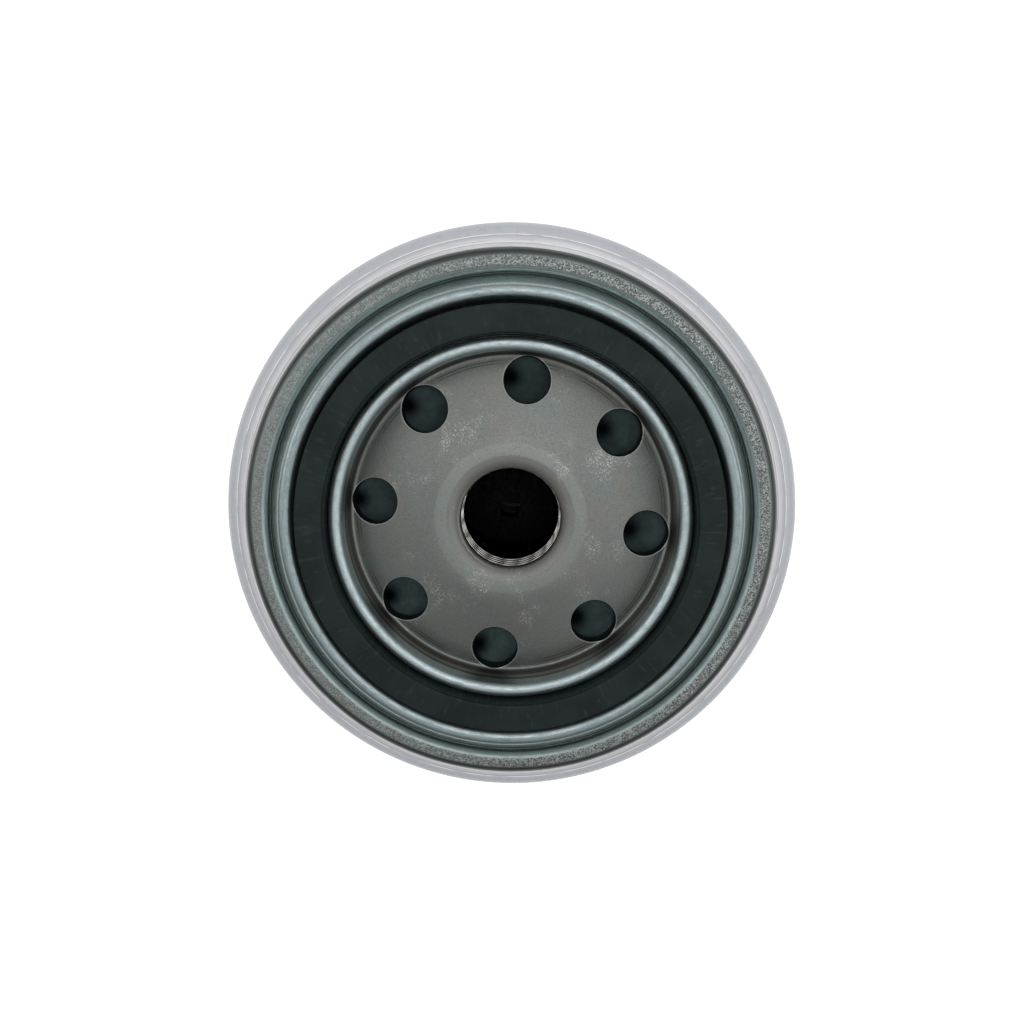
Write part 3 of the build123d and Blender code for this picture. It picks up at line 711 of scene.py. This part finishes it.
def pressed_steel():
    """Bare steel: a panel with painted glints in patches, a drawn wall with a painted shaded foot, inlet
    holes painted with highlights and shadows, and a thread painted in light and shade.
    """
    steel = Shader("bare_steel", grey(0.2), metallic=1.0, roughness=0.5)
    radius, level, across, along = steel.polar()
    fine = steel.noise(steel.place, 3.2, detail=4.0, roughness=0.65)
    broad = steel.noise(steel.place, 0.12, detail=3.0)
    look = steel.mix(steel.between(broad, 0.4, 0.6), PANEL_COOL, PANEL_WARM)
    look = steel.varied(look, steel.noise(steel.place, 0.06, detail=1.0), 0.72, 1.28)
    grain = steel.noise(steel.place, 6.5, detail=3.0, roughness=0.75)
    look = steel.varied(look, steel.between(grain, 0.3, 0.7), 0.80, 1.20)

    # the bright ring round the threaded hole, and the roll into it, painted warmer and less metallic as
    # painted light that lifts the dark reflection of its curve
    land = steel.band(radius, NECK_LAND_RADIUS - 2.0, NECK_LAND_RADIUS - 0.4, 0.5)
    look = steel.mix(steel.product(land, 0.45), look, PANEL_LAND)
    entry_lift = steel.band(radius, THREAD_MINOR + 0.6, NECK_LAND_RADIUS - 2.9, 0.5)
    look = steel.mix(steel.product(entry_lift, 0.45), look, PANEL_ENTRY_LIFT)

    # dark specks, painted glints of sparkling grains in patches, and two broken lines beside the dish's foot
    look = steel.mix(steel.between(fine, 0.58, 0.78), look, PANEL_SPECK)
    glint_patches = steel.noise(steel.place, 0.11, detail=5.0, roughness=0.72)
    painted_glint = steel.between(steel.cell_tone(7.5), 0.60, 0.98)
    look = steel.mix(steel.product(painted_glint, steel.between(glint_patches, 0.53, 0.66), 0.75), look, PANEL_PAINTED_GLINT)
    gaps = steel.noise(steel.wrapped(across, along, 3.0, 0.0), 1.0, detail=2.0)
    starts = [DISH_FOOT_RADIUS + offset for offset in PANEL_LINES]
    lines = steel.union(*[steel.band(radius, start, start + 0.05, 0.08) for start in starts])
    look = steel.mix(steel.product(lines, steel.between(gaps, 0.40, 0.55), 0.8), look, PANEL_LINE)

    # the dish's wall, drawn in rings, with a foot darkened as painted shade
    wall = steel.between(radius, DISH_FOOT_RADIUS - 0.35, DISH_FOOT_RADIUS - 0.05)
    depth = steel.math("ADD", radius, steel.product(level, 0.6))
    rings = steel.noise(steel.wrapped(across, along, 0.05, depth), 2.4, detail=4.0, roughness=0.6)
    drawn = steel.mix(steel.between(rings, 0.42, 0.60), WALL_BRIGHT, WALL_DARK)
    foot_shade = steel.band(radius, DISH_FOOT_RADIUS - 0.4, DISH_FOOT_RADIUS + 0.2, 0.3)
    drawn = steel.mix(steel.product(foot_shade, 0.75), drawn, WALL_FOOT_SHADE)
    look = steel.mix(wall, look, drawn)

    # each inlet hole has a painted highlight on its lip, a painted dark outline of shade and its wall painted
    # in shadow
    off_hole = steel.length(*steel.beside_inlet(radius, across, along))
    lip_highlight = steel.band(off_hole, INLET_RADIUS + 0.15, INLET_RADIUS + 0.23, 0.05)
    look = steel.mix(steel.product(lip_highlight, 0.4), look, HOLE_LIP_HIGHLIGHT)
    look = steel.mix(steel.between(off_hole, INLET_RADIUS, INLET_RADIUS + 0.03), HOLE_WALL_SHADOW, look)
    outline = steel.band(off_hole, INLET_RADIUS + 0.01, INLET_RADIUS + 0.07, 0.03)
    look = steel.mix(outline, look, HOLE_OUTLINE_SHADE)

    # painted shadow in the roots of the thread, painted highlights on its crests
    in_neck = steel.product(
        steel.between(level, land_level - 2.3, land_level - 1.9, 1.0, 0.0),
        steel.between(radius, THREAD_MAJOR + 0.1, THREAD_MAJOR + 0.2, 1.0, 0.0),
    )
    round_axis = steel.math("DIVIDE", steel.math("ARCTAN2", along, across), 2 * pi)
    turn = steel.math("SUBTRACT", steel.math("DIVIDE", level, THREAD_PITCH), round_axis)
    off_root = steel.math("ABSOLUTE", steel.math("SUBTRACT", steel.math("FRACT", turn), 0.5))
    off_root = steel.product(off_root, THREAD_PITCH)
    thread_light_shade = steel.mix(steel.between(off_root, 0.515, 0.55), THREAD_ROOT_SHADOW, THREAD_CREST_HIGHLIGHT)
    steel.feed(steel.mix(in_neck, look, thread_light_shade), "Base Color")

    steel.feed(steel.between(fine, 0.25, 0.75, 0.40, 0.60), "Roughness")
    # the roll into the hole is made less metallic, as part of its painted light
    steel.feed(steel.math("SUBTRACT", 1.0, steel.product(entry_lift, 0.65)), "Metallic")
    tooth = steel.bump(fine, 0.012, 0.6)
    steel.feed(steel.bump(steel.product(rings, wall), 0.01, 0.6, under=tooth), "Normal")
    return steel.material


# ---- the other finishes, and all of them by slot
# light tone, dark tone, scale of the grain, roughness, metallic, depth of the relief in mm
PLAIN_LOOKS = {
    "sealant": ((0.16, 0.15, 0.14), (0.10, 0.095, 0.09), 1.2, 0.6, 0.0, 0.03),
    "filter_paper": ((0.66, 0.50, 0.22), (0.50, 0.36, 0.14), 2.2, 0.85, 0.0, 0.03),
    "potting_adhesive": ((0.24, 0.10, 0.05), (0.16, 0.07, 0.035), 0.8, 0.4, 0.0, 0.02),
    "tinned_steel": ((0.085, 0.085, 0.083), grey(0.05), 1.4, 0.42, 1.0, 0.01),
    # near-black steel for the parts deep in the bore, painted shade
    "bore_shade_steel": (grey(0.016), grey(0.010), 1.4, 0.5, 1.0, 0.01),
    "spring_steel": ((0.42, 0.42, 0.43), (0.25, 0.25, 0.26), 2.0, 0.34, 1.0, 0.01),
}


def plain(name, light, dark, scale, roughness, metallic, depth):
    """A material of two mixed tones with matching roughness and a fine relief."""
    look = Shader(name, light, metallic=metallic, roughness=roughness)
    grain = look.noise(look.place, scale, detail=4.0, roughness=0.6)
    look.feed(look.mix(look.between(grain, 0.35, 0.65), light, dark), "Base Color")
    look.feed(look.between(grain, 0.3, 0.7, roughness * 0.8, roughness * 1.2), "Roughness")
    look.feed(look.bump(grain, depth, 0.6), "Normal")
    return look.material


finishes = {name: plain(name, *settings) for name, settings in PLAIN_LOOKS.items()}
finishes["white_paint"] = enamel()
finishes["zinc_plate"] = zinc()
finishes["bare_steel"] = pressed_steel()
finishes["gasket_rubber"] = moulded_rubber(
    "gasket_rubber", 0.0110, (0.55, 1.13, 1.10), marks=0.8, gloss=0.2, smears=0.3, smear_scale=0.13,
)
finishes["valve_rubber"] = moulded_rubber(
    "valve_rubber", 0.017, (0.60, 1.02, 1.08), marks=0.15, gloss=0.45, smears=0.6, smear_scale=0.26,
    shine=(0.74, 1.0, 1.03), shadow_spots=True,
)


# ---- shape helpers
def stepped(points, is_fine, fine, coarse):
    """The open line with short steps where is_fine(r, z) holds at both ends of a run, long ones elsewhere."""
    line = []
    for a, b in zip(points, points[1:]):
        step = fine if is_fine(*a) and is_fine(*b) else coarse
        line += divided([a, b], step, closed=False)[:-1]
    return line + [points[-1]]


def eased(value, low, high):
    """0 up to low, 1 from high on, and a smooth rise between them."""
    share = min(max((value - low) / (high - low), 0.0), 1.0)
    return share * share * (3 - 2 * share)


def crossings(points, radius):
    """The line with a point added wherever it crosses a radius, and the places of those points."""
    line, places = [points[0]], []
    for a, b in zip(points, points[1:]):
        if (a[0] - radius) * (b[0] - radius) < 0:
            share = (radius - a[0]) / (b[0] - a[0])
            places.append(len(line))
            line.append((radius, a[1] + (b[1] - a[1]) * share))
        line.append(b)
    return line, places


def level_at(line, radius):
    """Height of a line that runs outwards, at a radius."""
    for a, b in zip(line, line[1:]):
        if radius <= b[0]:
            break
    share = min(max((radius - a[0]) / (b[0] - a[0]), 0.0), 1.0)
    return a[1] + (b[1] - a[1]) * share


# ---- the can
half_wall = CAN_WALL / 2
wall_line = can_radius - half_wall
recess_edge = STANDING_RING_RADIUS - RECESS_WALL_RUN
can_line = [
    (body_hook, seam_bottom + LID_SHEET + SLIP_FIT), (body_hook, body_hook_top), (can_neck, body_hook_top),
    (can_neck, shoulder_level), (wall_line, shoulder_level), (wall_line, FLUTE_TOP + FLUTE_MARGIN),
    (wall_line, half_wall), (STANDING_RING_RADIUS, half_wall), (recess_edge, RECESS_DEPTH + half_wall),
    (0, RECESS_DEPTH + half_wall),
]
can_rounds = [
    BODY_HOOK_ROUND, BODY_HOOK_ROUND, NECK_ROUND, SHOULDER_ROUND, 0.0, HEEL_ROUND, RECESS_ROUND, RECESS_ROUND,
]


def with_flutes(cutter_radius):
    """Moves points of one skin of the can inwards where a wrench flute is pressed."""
    centre = can_radius + FLUTE_RADIUS - FLUTE_DEPTH
    straight = FLUTE_TOP - FLUTE_RADIUS
    pitch_angle = 2 * pi / FLUTE_COUNT

    def shape(r, z, angle):
        if z > FLUTE_TOP or r < STANDING_RING_RADIUS:
            return r, z
        turn = (angle + pitch_angle / 2) % pitch_angle - pitch_angle / 2
        reach = cutter_radius ** 2 - max(0.0, z - straight) ** 2 - (centre * sin(turn)) ** 2
        if reach <= 0:
            return r, z
        cut = centre * cos(turn) - sqrt(reach)
        overlap = max(FLUTE_EDGE_BLEND - abs(r - cut), 0) / FLUTE_EDGE_BLEND
        return min(r, cut) - overlap * overlap * FLUTE_EDGE_BLEND / 4, z
    return shape


def in_flutes(r, z):
    return r > STANDING_RING_RADIUS and z <= FLUTE_TOP + FLUTE_MARGIN


def can_skin(side):
    """One skin of the can, from its hook down to the middle of its base."""
    line = stepped(sheet_side(can_line, can_rounds, side), in_flutes, FLUTE_STEP, CAN_STEP)
    return [(max(r, 0.0), z) for r, z in line]


can_outer, can_inner = can_skin(half_wall), can_skin(-half_wall)
mesh = Mesh("can_body")
mesh.spin(can_outer, CAN_COLUMNS, shape=with_flutes(FLUTE_RADIUS))
mesh.spin(can_inner, CAN_COLUMNS, shape=with_flutes(FLUTE_RADIUS + CAN_WALL))
mesh.spin([can_outer[0], can_inner[0]], CAN_COLUMNS)
stand_in(mesh.make(finishes["white_paint"]), "can", "filter")

# ---- the seaming lid
half_lid = LID_SHEET / 2
outer_leg = GASKET_INNER - INNER_BEAD_CLEARANCE - half_lid
inner_leg = outer_leg - INNER_BEAD_WIDTH + LID_SHEET
channel_wall = GASKET_OUTER + CHANNEL_CLEARANCE + half_lid
crest_start = channel_wall + CHANNEL_FLARE
crest_end = crest_start + OUTER_BEAD_CREST
slope_end = crest_end + OUTER_BEAD_SLOPE_WIDTH
inner_bead_top = channel_floor + INNER_BEAD_HEIGHT
inner_crest = inner_bead_top - half_lid
outer_crest = channel_floor + OUTER_BEAD_HEIGHT - half_lid
countersink = channel_floor + COUNTERSINK_DEPTH - half_lid
hook_end = body_hook_top - CAN_WALL / 2 - SLIP_FIT - CONTACT_GAP
lid_line = [
    (inner_leg, flange_top + SLIP_FIT), (inner_leg, inner_crest), (outer_leg, inner_crest),
    (outer_leg, channel_floor - half_lid), (channel_wall, channel_floor - half_lid),
    (crest_start, outer_crest), (crest_end, outer_crest), (slope_end, countersink + SLOPE_FOOT_HEIGHT),
    (chuck_wall, countersink), (chuck_wall, seam_top - half_lid), (seam_wall, seam_top - half_lid),
    (seam_wall, seam_bottom + half_lid), (cover_hook, seam_bottom + half_lid), (cover_hook, hook_end),
]


def with_stakes(r, z, angle):
    """Presses the inner bead out towards the gasket at each stake."""
    if r > GASKET_INNER or z < channel_floor:
        return r, z
    spacing = 360 / STAKE_COUNT
    off = (angle * 180 / pi - STAKE_PHASE + spacing / 2) % spacing - spacing / 2
    mark = exp(-((radians(off) * outer_leg / STAKE_HALF_WIDTH) ** 2))
    above_floor = eased(z, channel_floor, channel_floor + STAKE_EASE)
    outside = eased(r, inner_leg + STAKE_SHIFT, outer_leg + STAKE_SHIFT)
    crown = eased(z, inner_bead_top - (STAKE_EASE + STAKE_SHIFT), inner_bead_top - STAKE_SHIFT)
    return r + STAKE_REACH * mark * above_floor * outside, z - STAKE_CROWN_DIP * mark * crown * outside


mesh = Mesh("seaming_lid_ring")
mesh.spin(sheet_outline(lid_line, LID_ROUNDS, LID_SHEET), LID_COLUMNS, closed=True, shape=with_stakes)
stand_in(mesh.make(finishes["zinc_plate"], sharp=60), "seaming_lid", "filter")

# ---- the base gasket
gasket_corners = [
    (GASKET_INNER, channel_floor), (GASKET_OUTER, channel_floor),
    (GASKET_OUTER, gasket_face), (GASKET_INNER, gasket_face),
]
gasket_outline = divided(rounded_loop(gasket_corners, [GASKET_ROUND] * 4, arc_step=15), GASKET_STEP)


def slightly_uneven(r, z, angle):
    """Moulded rubber is never quite flat: the face only dips, and the bore only widens."""
    near_face = eased(z, channel_floor + 1, gasket_face)
    dip = GASKET_FACE_DIP * (1 + sin(3 * angle + 0.7) * 0.6 + sin(8 * angle + 2.1) * 0.4)
    near_bore = eased(GASKET_OUTER - r, 0.6, 4.0)
    wave = GASKET_EDGE_WAVE * sin(5 * angle + 1.3) * eased(z, channel_floor + 0.5, gasket_face) * near_bore
    return r + max(wave, 0.0), z - dip * near_face


mesh = Mesh("base_gasket_ring")
mesh.spin(gasket_outline, GASKET_COLUMNS, closed=True, shape=slightly_uneven)
stand_in(mesh.make(finishes["gasket_rubber"]), "base_gasket", "filter")

# ---- the tapping plate
land_under = land_level - PLATE_THICKNESS
foot_under = foot_level - PLATE_THICKNESS
plate_corners = {
    (THREAD_MINOR, neck_bottom): NECK_TIP_ROUND,
    (neck_outer, neck_bottom): NECK_TIP_ROUND,
    (neck_outer, land_under): NECK_ROOT_ROUND,
    (NECK_LAND_RADIUS, land_under): PLATE_EDGE_ROUND,
    (DISH_FOOT_RADIUS, foot_under): PLATE_EDGE_ROUND,
    (DISH_FOOT_RADIUS + PLATE_THICKNESS - FOOT_DRAW, foot_under): FOOT_OUTER_ROUND,
    (DISH_MOUTH_RADIUS + PLATE_THICKNESS, flange_bottom): FLANGE_ROOT_ROUND,
    (plate_edge, flange_bottom): PLATE_EDGE_ROUND,
    (plate_edge, flange_top): PLATE_EDGE_ROUND,
    (DISH_MOUTH_RADIUS, flange_top): DISH_MOUTH_ROUND,
    (DISH_FOOT_RADIUS, foot_level): FOOT_INNER_ROUND,
    (NECK_LAND_RADIUS, land_level): NECK_LAND_ROUND,
    (THREAD_MINOR, land_level): NECK_ENTRY_ROUND,
}
plate_loop = rounded_loop(list(plate_corners), list(plate_corners.values()), arc_step=6)
plate_loop, _ = crossings(plate_loop, SECTOR_OUTER)
plate_loop, (below_in, above_in) = crossings(plate_loop, SECTOR_INNER)
below_out, above_out = [k for k, (r, z) in enumerate(plate_loop) if r == SECTOR_OUTER]
underside = plate_loop[below_in:below_out + 1]
topside = plate_loop[above_out:above_in + 1][::-1]


def threaded(r, z, angle):
    """Cuts the stud thread's grooves into the neck's bore."""
    if r > THREAD_MAJOR + 0.1 or z > land_level - THREAD_RUN_IN:
        return r, z
    turn = (z / THREAD_PITCH - angle / (2 * pi)) % 1.0
    off = abs(turn - 0.5) * THREAD_PITCH
    depth = THREAD_MAJOR - THREAD_MINOR
    groove = depth - max(off - THREAD_PITCH / 16, 0.0) / tan(radians(THREAD_FLANK))
    fade = eased(z, neck_bottom + THREAD_RUN_IN, neck_bottom + 1.0)
    return max(r, THREAD_MINOR + max(groove, 0.0) * fade), z


def in_bore(r, z):
    return r < THREAD_MAJOR + 0.3 and z > neck_bottom + 0.2


def sector_border(middle):
    """Points (x, y) round the border of one hole's sector."""
    sector = 2 * pi / INLET_COUNT
    start, end = middle - sector / 2, middle + sector / 2
    arc_steps = PLATE_COLUMNS // INLET_COUNT
    width = SECTOR_OUTER - SECTOR_INNER
    border = [(SECTOR_OUTER, start + sector * k / arc_steps) for k in range(arc_steps)]
    border += [(SECTOR_OUTER - width * k / HOLE_SIDE_STEPS, end) for k in range(HOLE_SIDE_STEPS)]
    border += [(SECTOR_INNER, end - sector * k / arc_steps) for k in range(arc_steps)]
    border += [(SECTOR_INNER + width * k / HOLE_SIDE_STEPS, start) for k in range(HOLE_SIDE_STEPS)]
    return [(r * cos(a), r * sin(a)) for r, a in border]


def hole_row(centre, ways, radius, line, drop):
    """A circle of points round a hole's centre, by drop below a line's level."""
    row = []
    for way in ways:
        x, y = centre[0] + radius * cos(way), centre[1] + radius * sin(way)
        row.append((x, y, level_at(line, hypot(x, y)) - drop))
    return row


def web_rows(centre, ways, edge, radius, line):
    """Rows of points from the sector's border in to a circle round the hole."""
    rows = []
    for share in WEB_SHARES:
        row = []
        for (x, y), way in zip(edge, ways):
            in_x, in_y = centre[0] + radius * cos(way), centre[1] + radius * sin(way)
            at_x, at_y = x + (in_x - x) * share, y + (in_y - y) * share
            row.append((at_x, at_y, level_at(line, hypot(at_x, at_y))))
        rows.append(row)
    return rows


plate = Mesh("tapping_plate_dished")
inner_line = plate_loop[above_in:] + plate_loop[:below_in + 1]
inner_line = stepped(inner_line, in_bore, THREAD_PITCH / THREAD_ROWS, PLATE_STEP)
outer_line = divided(plate_loop[below_out:above_out + 1], FLANGE_STEP, closed=False)
plate.spin(inner_line, PLATE_COLUMNS, shape=threaded)
plate.spin(outer_line, PLATE_COLUMNS)
for number in range(INLET_COUNT):
    middle = 2 * pi / INLET_COUNT * number
    edge = sector_border(middle)
    centre = (INLET_CIRCLE * cos(middle), INLET_CIRCLE * sin(middle))
    ways = [atan2(y - centre[1], x - centre[0]) for x, y in edge]
    rows = web_rows(centre, ways, edge, INLET_RADIUS + INLET_EDGE_ROUND, topside)
    for k in range(1, HOLE_EDGE_STEPS + 1):
        turn = pi / 2 * k / HOLE_EDGE_STEPS
        radius, drop = INLET_RADIUS + INLET_EDGE_ROUND * (1 - sin(turn)), INLET_EDGE_ROUND * (1 - cos(turn))
        rows.append(hole_row(centre, ways, radius, topside, drop))
    for k in range(HOLE_UNDER_STEPS, 0, -1):
        turn = pi / 2 * k / HOLE_UNDER_STEPS
        radius, drop = INLET_RADIUS + INLET_UNDER_ROUND * (1 - sin(turn)), INLET_UNDER_ROUND * (1 - cos(turn))
        rows.append(hole_row(centre, ways, radius, underside, -drop))
    rows += web_rows(centre, ways, edge, INLET_RADIUS + INLET_UNDER_ROUND, underside)[::-1]
    plate.grid(rows)
stand_in(plate.make(finishes["bare_steel"], sharp=35), "tapping_plate", "filter")

# ---- the anti-drainback valve
root_top = hub_top - MEMBRANE_ROOT
lip_inner = LIP_RADIUS - LIP_WIDTH
lip_top = foot_under - RUNNING_GAP
lip_bottom = lip_top - LIP_HEIGHT
valve_corners = {
    (hub_bore, hub_bottom): RUBBER_EDGE_ROUND,
    (hub_outer, hub_bottom): RUBBER_EDGE_ROUND,
    (hub_outer, root_top - RUBBER_THICKNESS): ROOT_ROUND,
    (lip_inner, lip_bottom + LIP_HEIGHT / 4): LIP_ROUND,
    (LIP_RADIUS, lip_bottom): RUBBER_EDGE_ROUND,
    (LIP_RADIUS, lip_top): RUBBER_EDGE_ROUND,
    (lip_inner, lip_top): LIP_ROUND,
    (lip_inner - LIP_WIDTH / 4, lip_top - LIP_HEIGHT / 4): LIP_ROUND,
    (hub_outer, root_top): ROOT_ROUND,
    (hub_outer, hub_top): RUBBER_EDGE_ROUND,
    (hub_bore, hub_top): RUBBER_EDGE_ROUND,
}
valve_loop = rounded_loop(list(valve_corners), list(valve_corners.values()), arc_step=12)
hub_edge = hub_outer + 0.002
hub_section = [(r, z) for r, z in valve_loop if r <= hub_edge]
flap_section = [(r, z) for r, z in valve_loop if r > hub_edge]

mesh = Mesh("drainback_hub")
mesh.spin(divided(hub_section, HUB_STEP), HUB_COLUMNS, closed=True)
stand_in(mesh.make(finishes["valve_rubber"]), "anti_drainback_valve", "filter")

# The membrane reaches from its root, which is sunk in the hub, to its lip. It is made of sectors, each one a
# mesh of its own.
root = hub_outer - ROOT_SINK
flap_line = divided(flap_section, FLAP_STEP, closed=False)
flap_line = [(root, flap_section[0][1])] + flap_line + [(root, flap_section[-1][1])]
for number in range(MEMBRANE_SECTORS):
    middle = 2 * pi * number / MEMBRANE_SECTORS
    columns = [middle + 2 * pi / MEMBRANE_SECTORS * (k / FLAP_STEPS - 0.5) for k in range(FLAP_STEPS + 1)]
    rows = [[(r * cos(a), r * sin(a), z) for a in columns] for r, z in flap_line]
    mesh = Mesh(f"drainback_membrane_{number + 1:02d}")
    mesh.grid(rows, closed_rows=True, closed_columns=False)
    first_side = [k * len(columns) for k in range(len(rows))]
    mesh.faces.append(first_side)
    mesh.faces.append([k + FLAP_STEPS for k in first_side][::-1])
    flap = mesh.make(finishes["valve_rubber"])
    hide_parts("anti_drainback_valve")
    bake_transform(flap)

# ---- the bypass spring
spring_low, spring_top = cad_low("bypass_spring"), cad_top("bypass_spring")
coil_steps = int(COIL_STEPS * BYPASS_TURNS)
ways = [2 * pi * j / WIRE_STEPS for j in range(WIRE_STEPS)]
up = Vector((0, 0, 1))
rows = []
for k in range(coil_steps + 1):
    angle = 2 * pi * k / COIL_STEPS
    rise = (spring_top - spring_low - BYPASS_WIRE) * k / coil_steps
    out = Vector((cos(angle), sin(angle), 0))
    heart = out * BYPASS_COIL_RADIUS + up * (spring_low + BYPASS_WIRE / 2 + rise)
    rows.append([tuple(heart + (out * cos(way) + up * sin(way)) * BYPASS_WIRE / 2) for way in ways])
mesh = Mesh("bypass_coil")
mesh.grid(rows)
mesh.faces.append(list(range(WIRE_STEPS)))
mesh.faces.append(list(range(len(mesh.verts) - WIRE_STEPS, len(mesh.verts)))[::-1])
coil = mesh.make(finishes["spring_steel"])
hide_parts("bypass_spring")
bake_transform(coil)

# ---- finishes of the CAD nodes that stay
# The parts deep in the bore are painted near-black, as painted shade down the bore.
DEEP_NODES = ("bypass", "bottom", "centre")
for name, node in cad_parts.items():
    slot = node.data.materials[0].name.split(".")[0]
    deep = slot == "tinned_steel" and name.startswith(DEEP_NODES)
    node.data.materials.clear()
    node.data.materials.append(finishes["bore_shade_steel" if deep else slot])

# ---- camera
CAMERA_PLACE = (-0.8, 22.68, 231.55)
CAMERA_LOOK = (0.0065, -0.1525, -0.9883)
CAMERA_UP = (-0.1191, 0.9812, -0.1522)
FOCAL_PIXELS = 808
IMAGE_PIXELS = 1024
SENSOR = 36.0
CLIP_START = 0.01             # m

ahead = Vector(CAMERA_LOOK).normalized()
right = ahead.cross(Vector(CAMERA_UP)).normalized()
upright = right.cross(ahead)
camera_data = bpy.data.cameras.new("camera")
camera_data.sensor_width = SENSOR
camera_data.lens = SENSOR * FOCAL_PIXELS / IMAGE_PIXELS
camera_data.clip_start = CLIP_START
camera = bpy.data.objects.new("camera", camera_data)
camera.matrix_world = Matrix((
    (right.x, upright.x, -ahead.x, CAMERA_PLACE[0] * MM),
    (right.y, upright.y, -ahead.y, CAMERA_PLACE[1] * MM),
    (right.z, upright.z, -ahead.z, CAMERA_PLACE[2] * MM),
    (0, 0, 0, 1),
))
bpy.context.scene.collection.objects.link(camera)
bpy.context.scene.camera = camera
bpy.context.scene.view_settings.view_transform = "Standard"

# ---- floor, world and lamps
FLOOR_SIZE = 3.0              # m, from the middle to each side
FLOOR_GAP = 0.02              # mm below the standing ring, so that the two never share a plane
FLOOR_GLOW = 0.45             # what the camera sees on top of the lit floor
SKY_TOP = (0.08, 0.20, 0.97)  # direction of the sky's brightest place
SKY_TONES = (
    (0.0, grey(0.20)), (0.3, grey(0.26)), (0.55, grey(0.50)),
    (0.78, grey(0.84)), (0.93, grey(0.98)), (1.0, WHITE),
)
LAMP_AIM = (0, 0, 0.09)       # m

floor_lines = [line / MM for line in (-FLOOR_SIZE, 0, FLOOR_SIZE)]
floor_mesh = Mesh("floor")
floor_mesh.grid([[(x, y, -FLOOR_GAP) for x in floor_lines] for y in floor_lines], closed_columns=False)
floor_look = Shader("floor", grey(0.8), roughness=0.9)
rays = floor_look.node("ShaderNodeLightPath").outputs
seen = floor_look.union(rays["Is Camera Ray"], rays["Is Glossy Ray"], rays["Is Transmission Ray"])
floor_look.set("Emission Color", (*WHITE, 1))
floor_look.feed(floor_look.product(seen, FLOOR_GLOW), "Emission Strength")
floor = floor_mesh.make(floor_look.material)


def studio_world():
    """White to the camera, and to everything else a sky that darkens from its top down."""
    world = bpy.data.worlds.new("studio")
    world.use_nodes = True
    world.node_tree.nodes.clear()
    nodes = Nodes(world.node_tree)
    toward = nodes.node("ShaderNodeVectorMath", operation="DOT_PRODUCT")
    nodes.link(nodes.node("ShaderNodeTexCoord").outputs["Generated"], toward.inputs[0])
    toward.inputs[1].default_value = Vector(SKY_TOP).normalized()
    sky = nodes.node("ShaderNodeBackground")
    nodes.link(nodes.ramp(toward.outputs["Value"], SKY_TONES), sky.inputs["Color"])
    white = nodes.node("ShaderNodeBackground")
    white.inputs["Color"].default_value = (*WHITE, 1)
    mixer = nodes.node("ShaderNodeMixShader")
    nodes.link(nodes.node("ShaderNodeLightPath").outputs["Is Camera Ray"], mixer.inputs[0])
    nodes.link(sky.outputs[0], mixer.inputs[1])
    nodes.link(white.outputs[0], mixer.inputs[2])
    nodes.link(mixer.outputs[0], nodes.node("ShaderNodeOutputWorld").inputs[0])
    return world


def lamp(name, place, size, watts):
    """A soft round lamp aimed at the top of the filter; place and size are in m."""
    data = bpy.data.lights.new(name, "AREA")
    data.shape = "DISK"
    data.size = size
    data.energy = watts
    made = bpy.data.objects.new(name, data)
    made.location = place
    made.rotation_euler = (Vector(LAMP_AIM) - Vector(place)).to_track_quat("-Z", "Y").to_euler()
    bpy.context.scene.collection.objects.link(made)


bpy.context.scene.world = studio_world()
lamp("key_back", (0.15, 0.45, 1.05), 0.90, 1.0)
lamp("overhead", (0.00, 0.16, 1.29), 0.25, 0.8)
lamp("fill_right", (0.80, 0.10, 0.80), 0.60, 1.2)
lamp("fill_left", (-0.80, 0.10, 0.80), 0.60, 1.5)
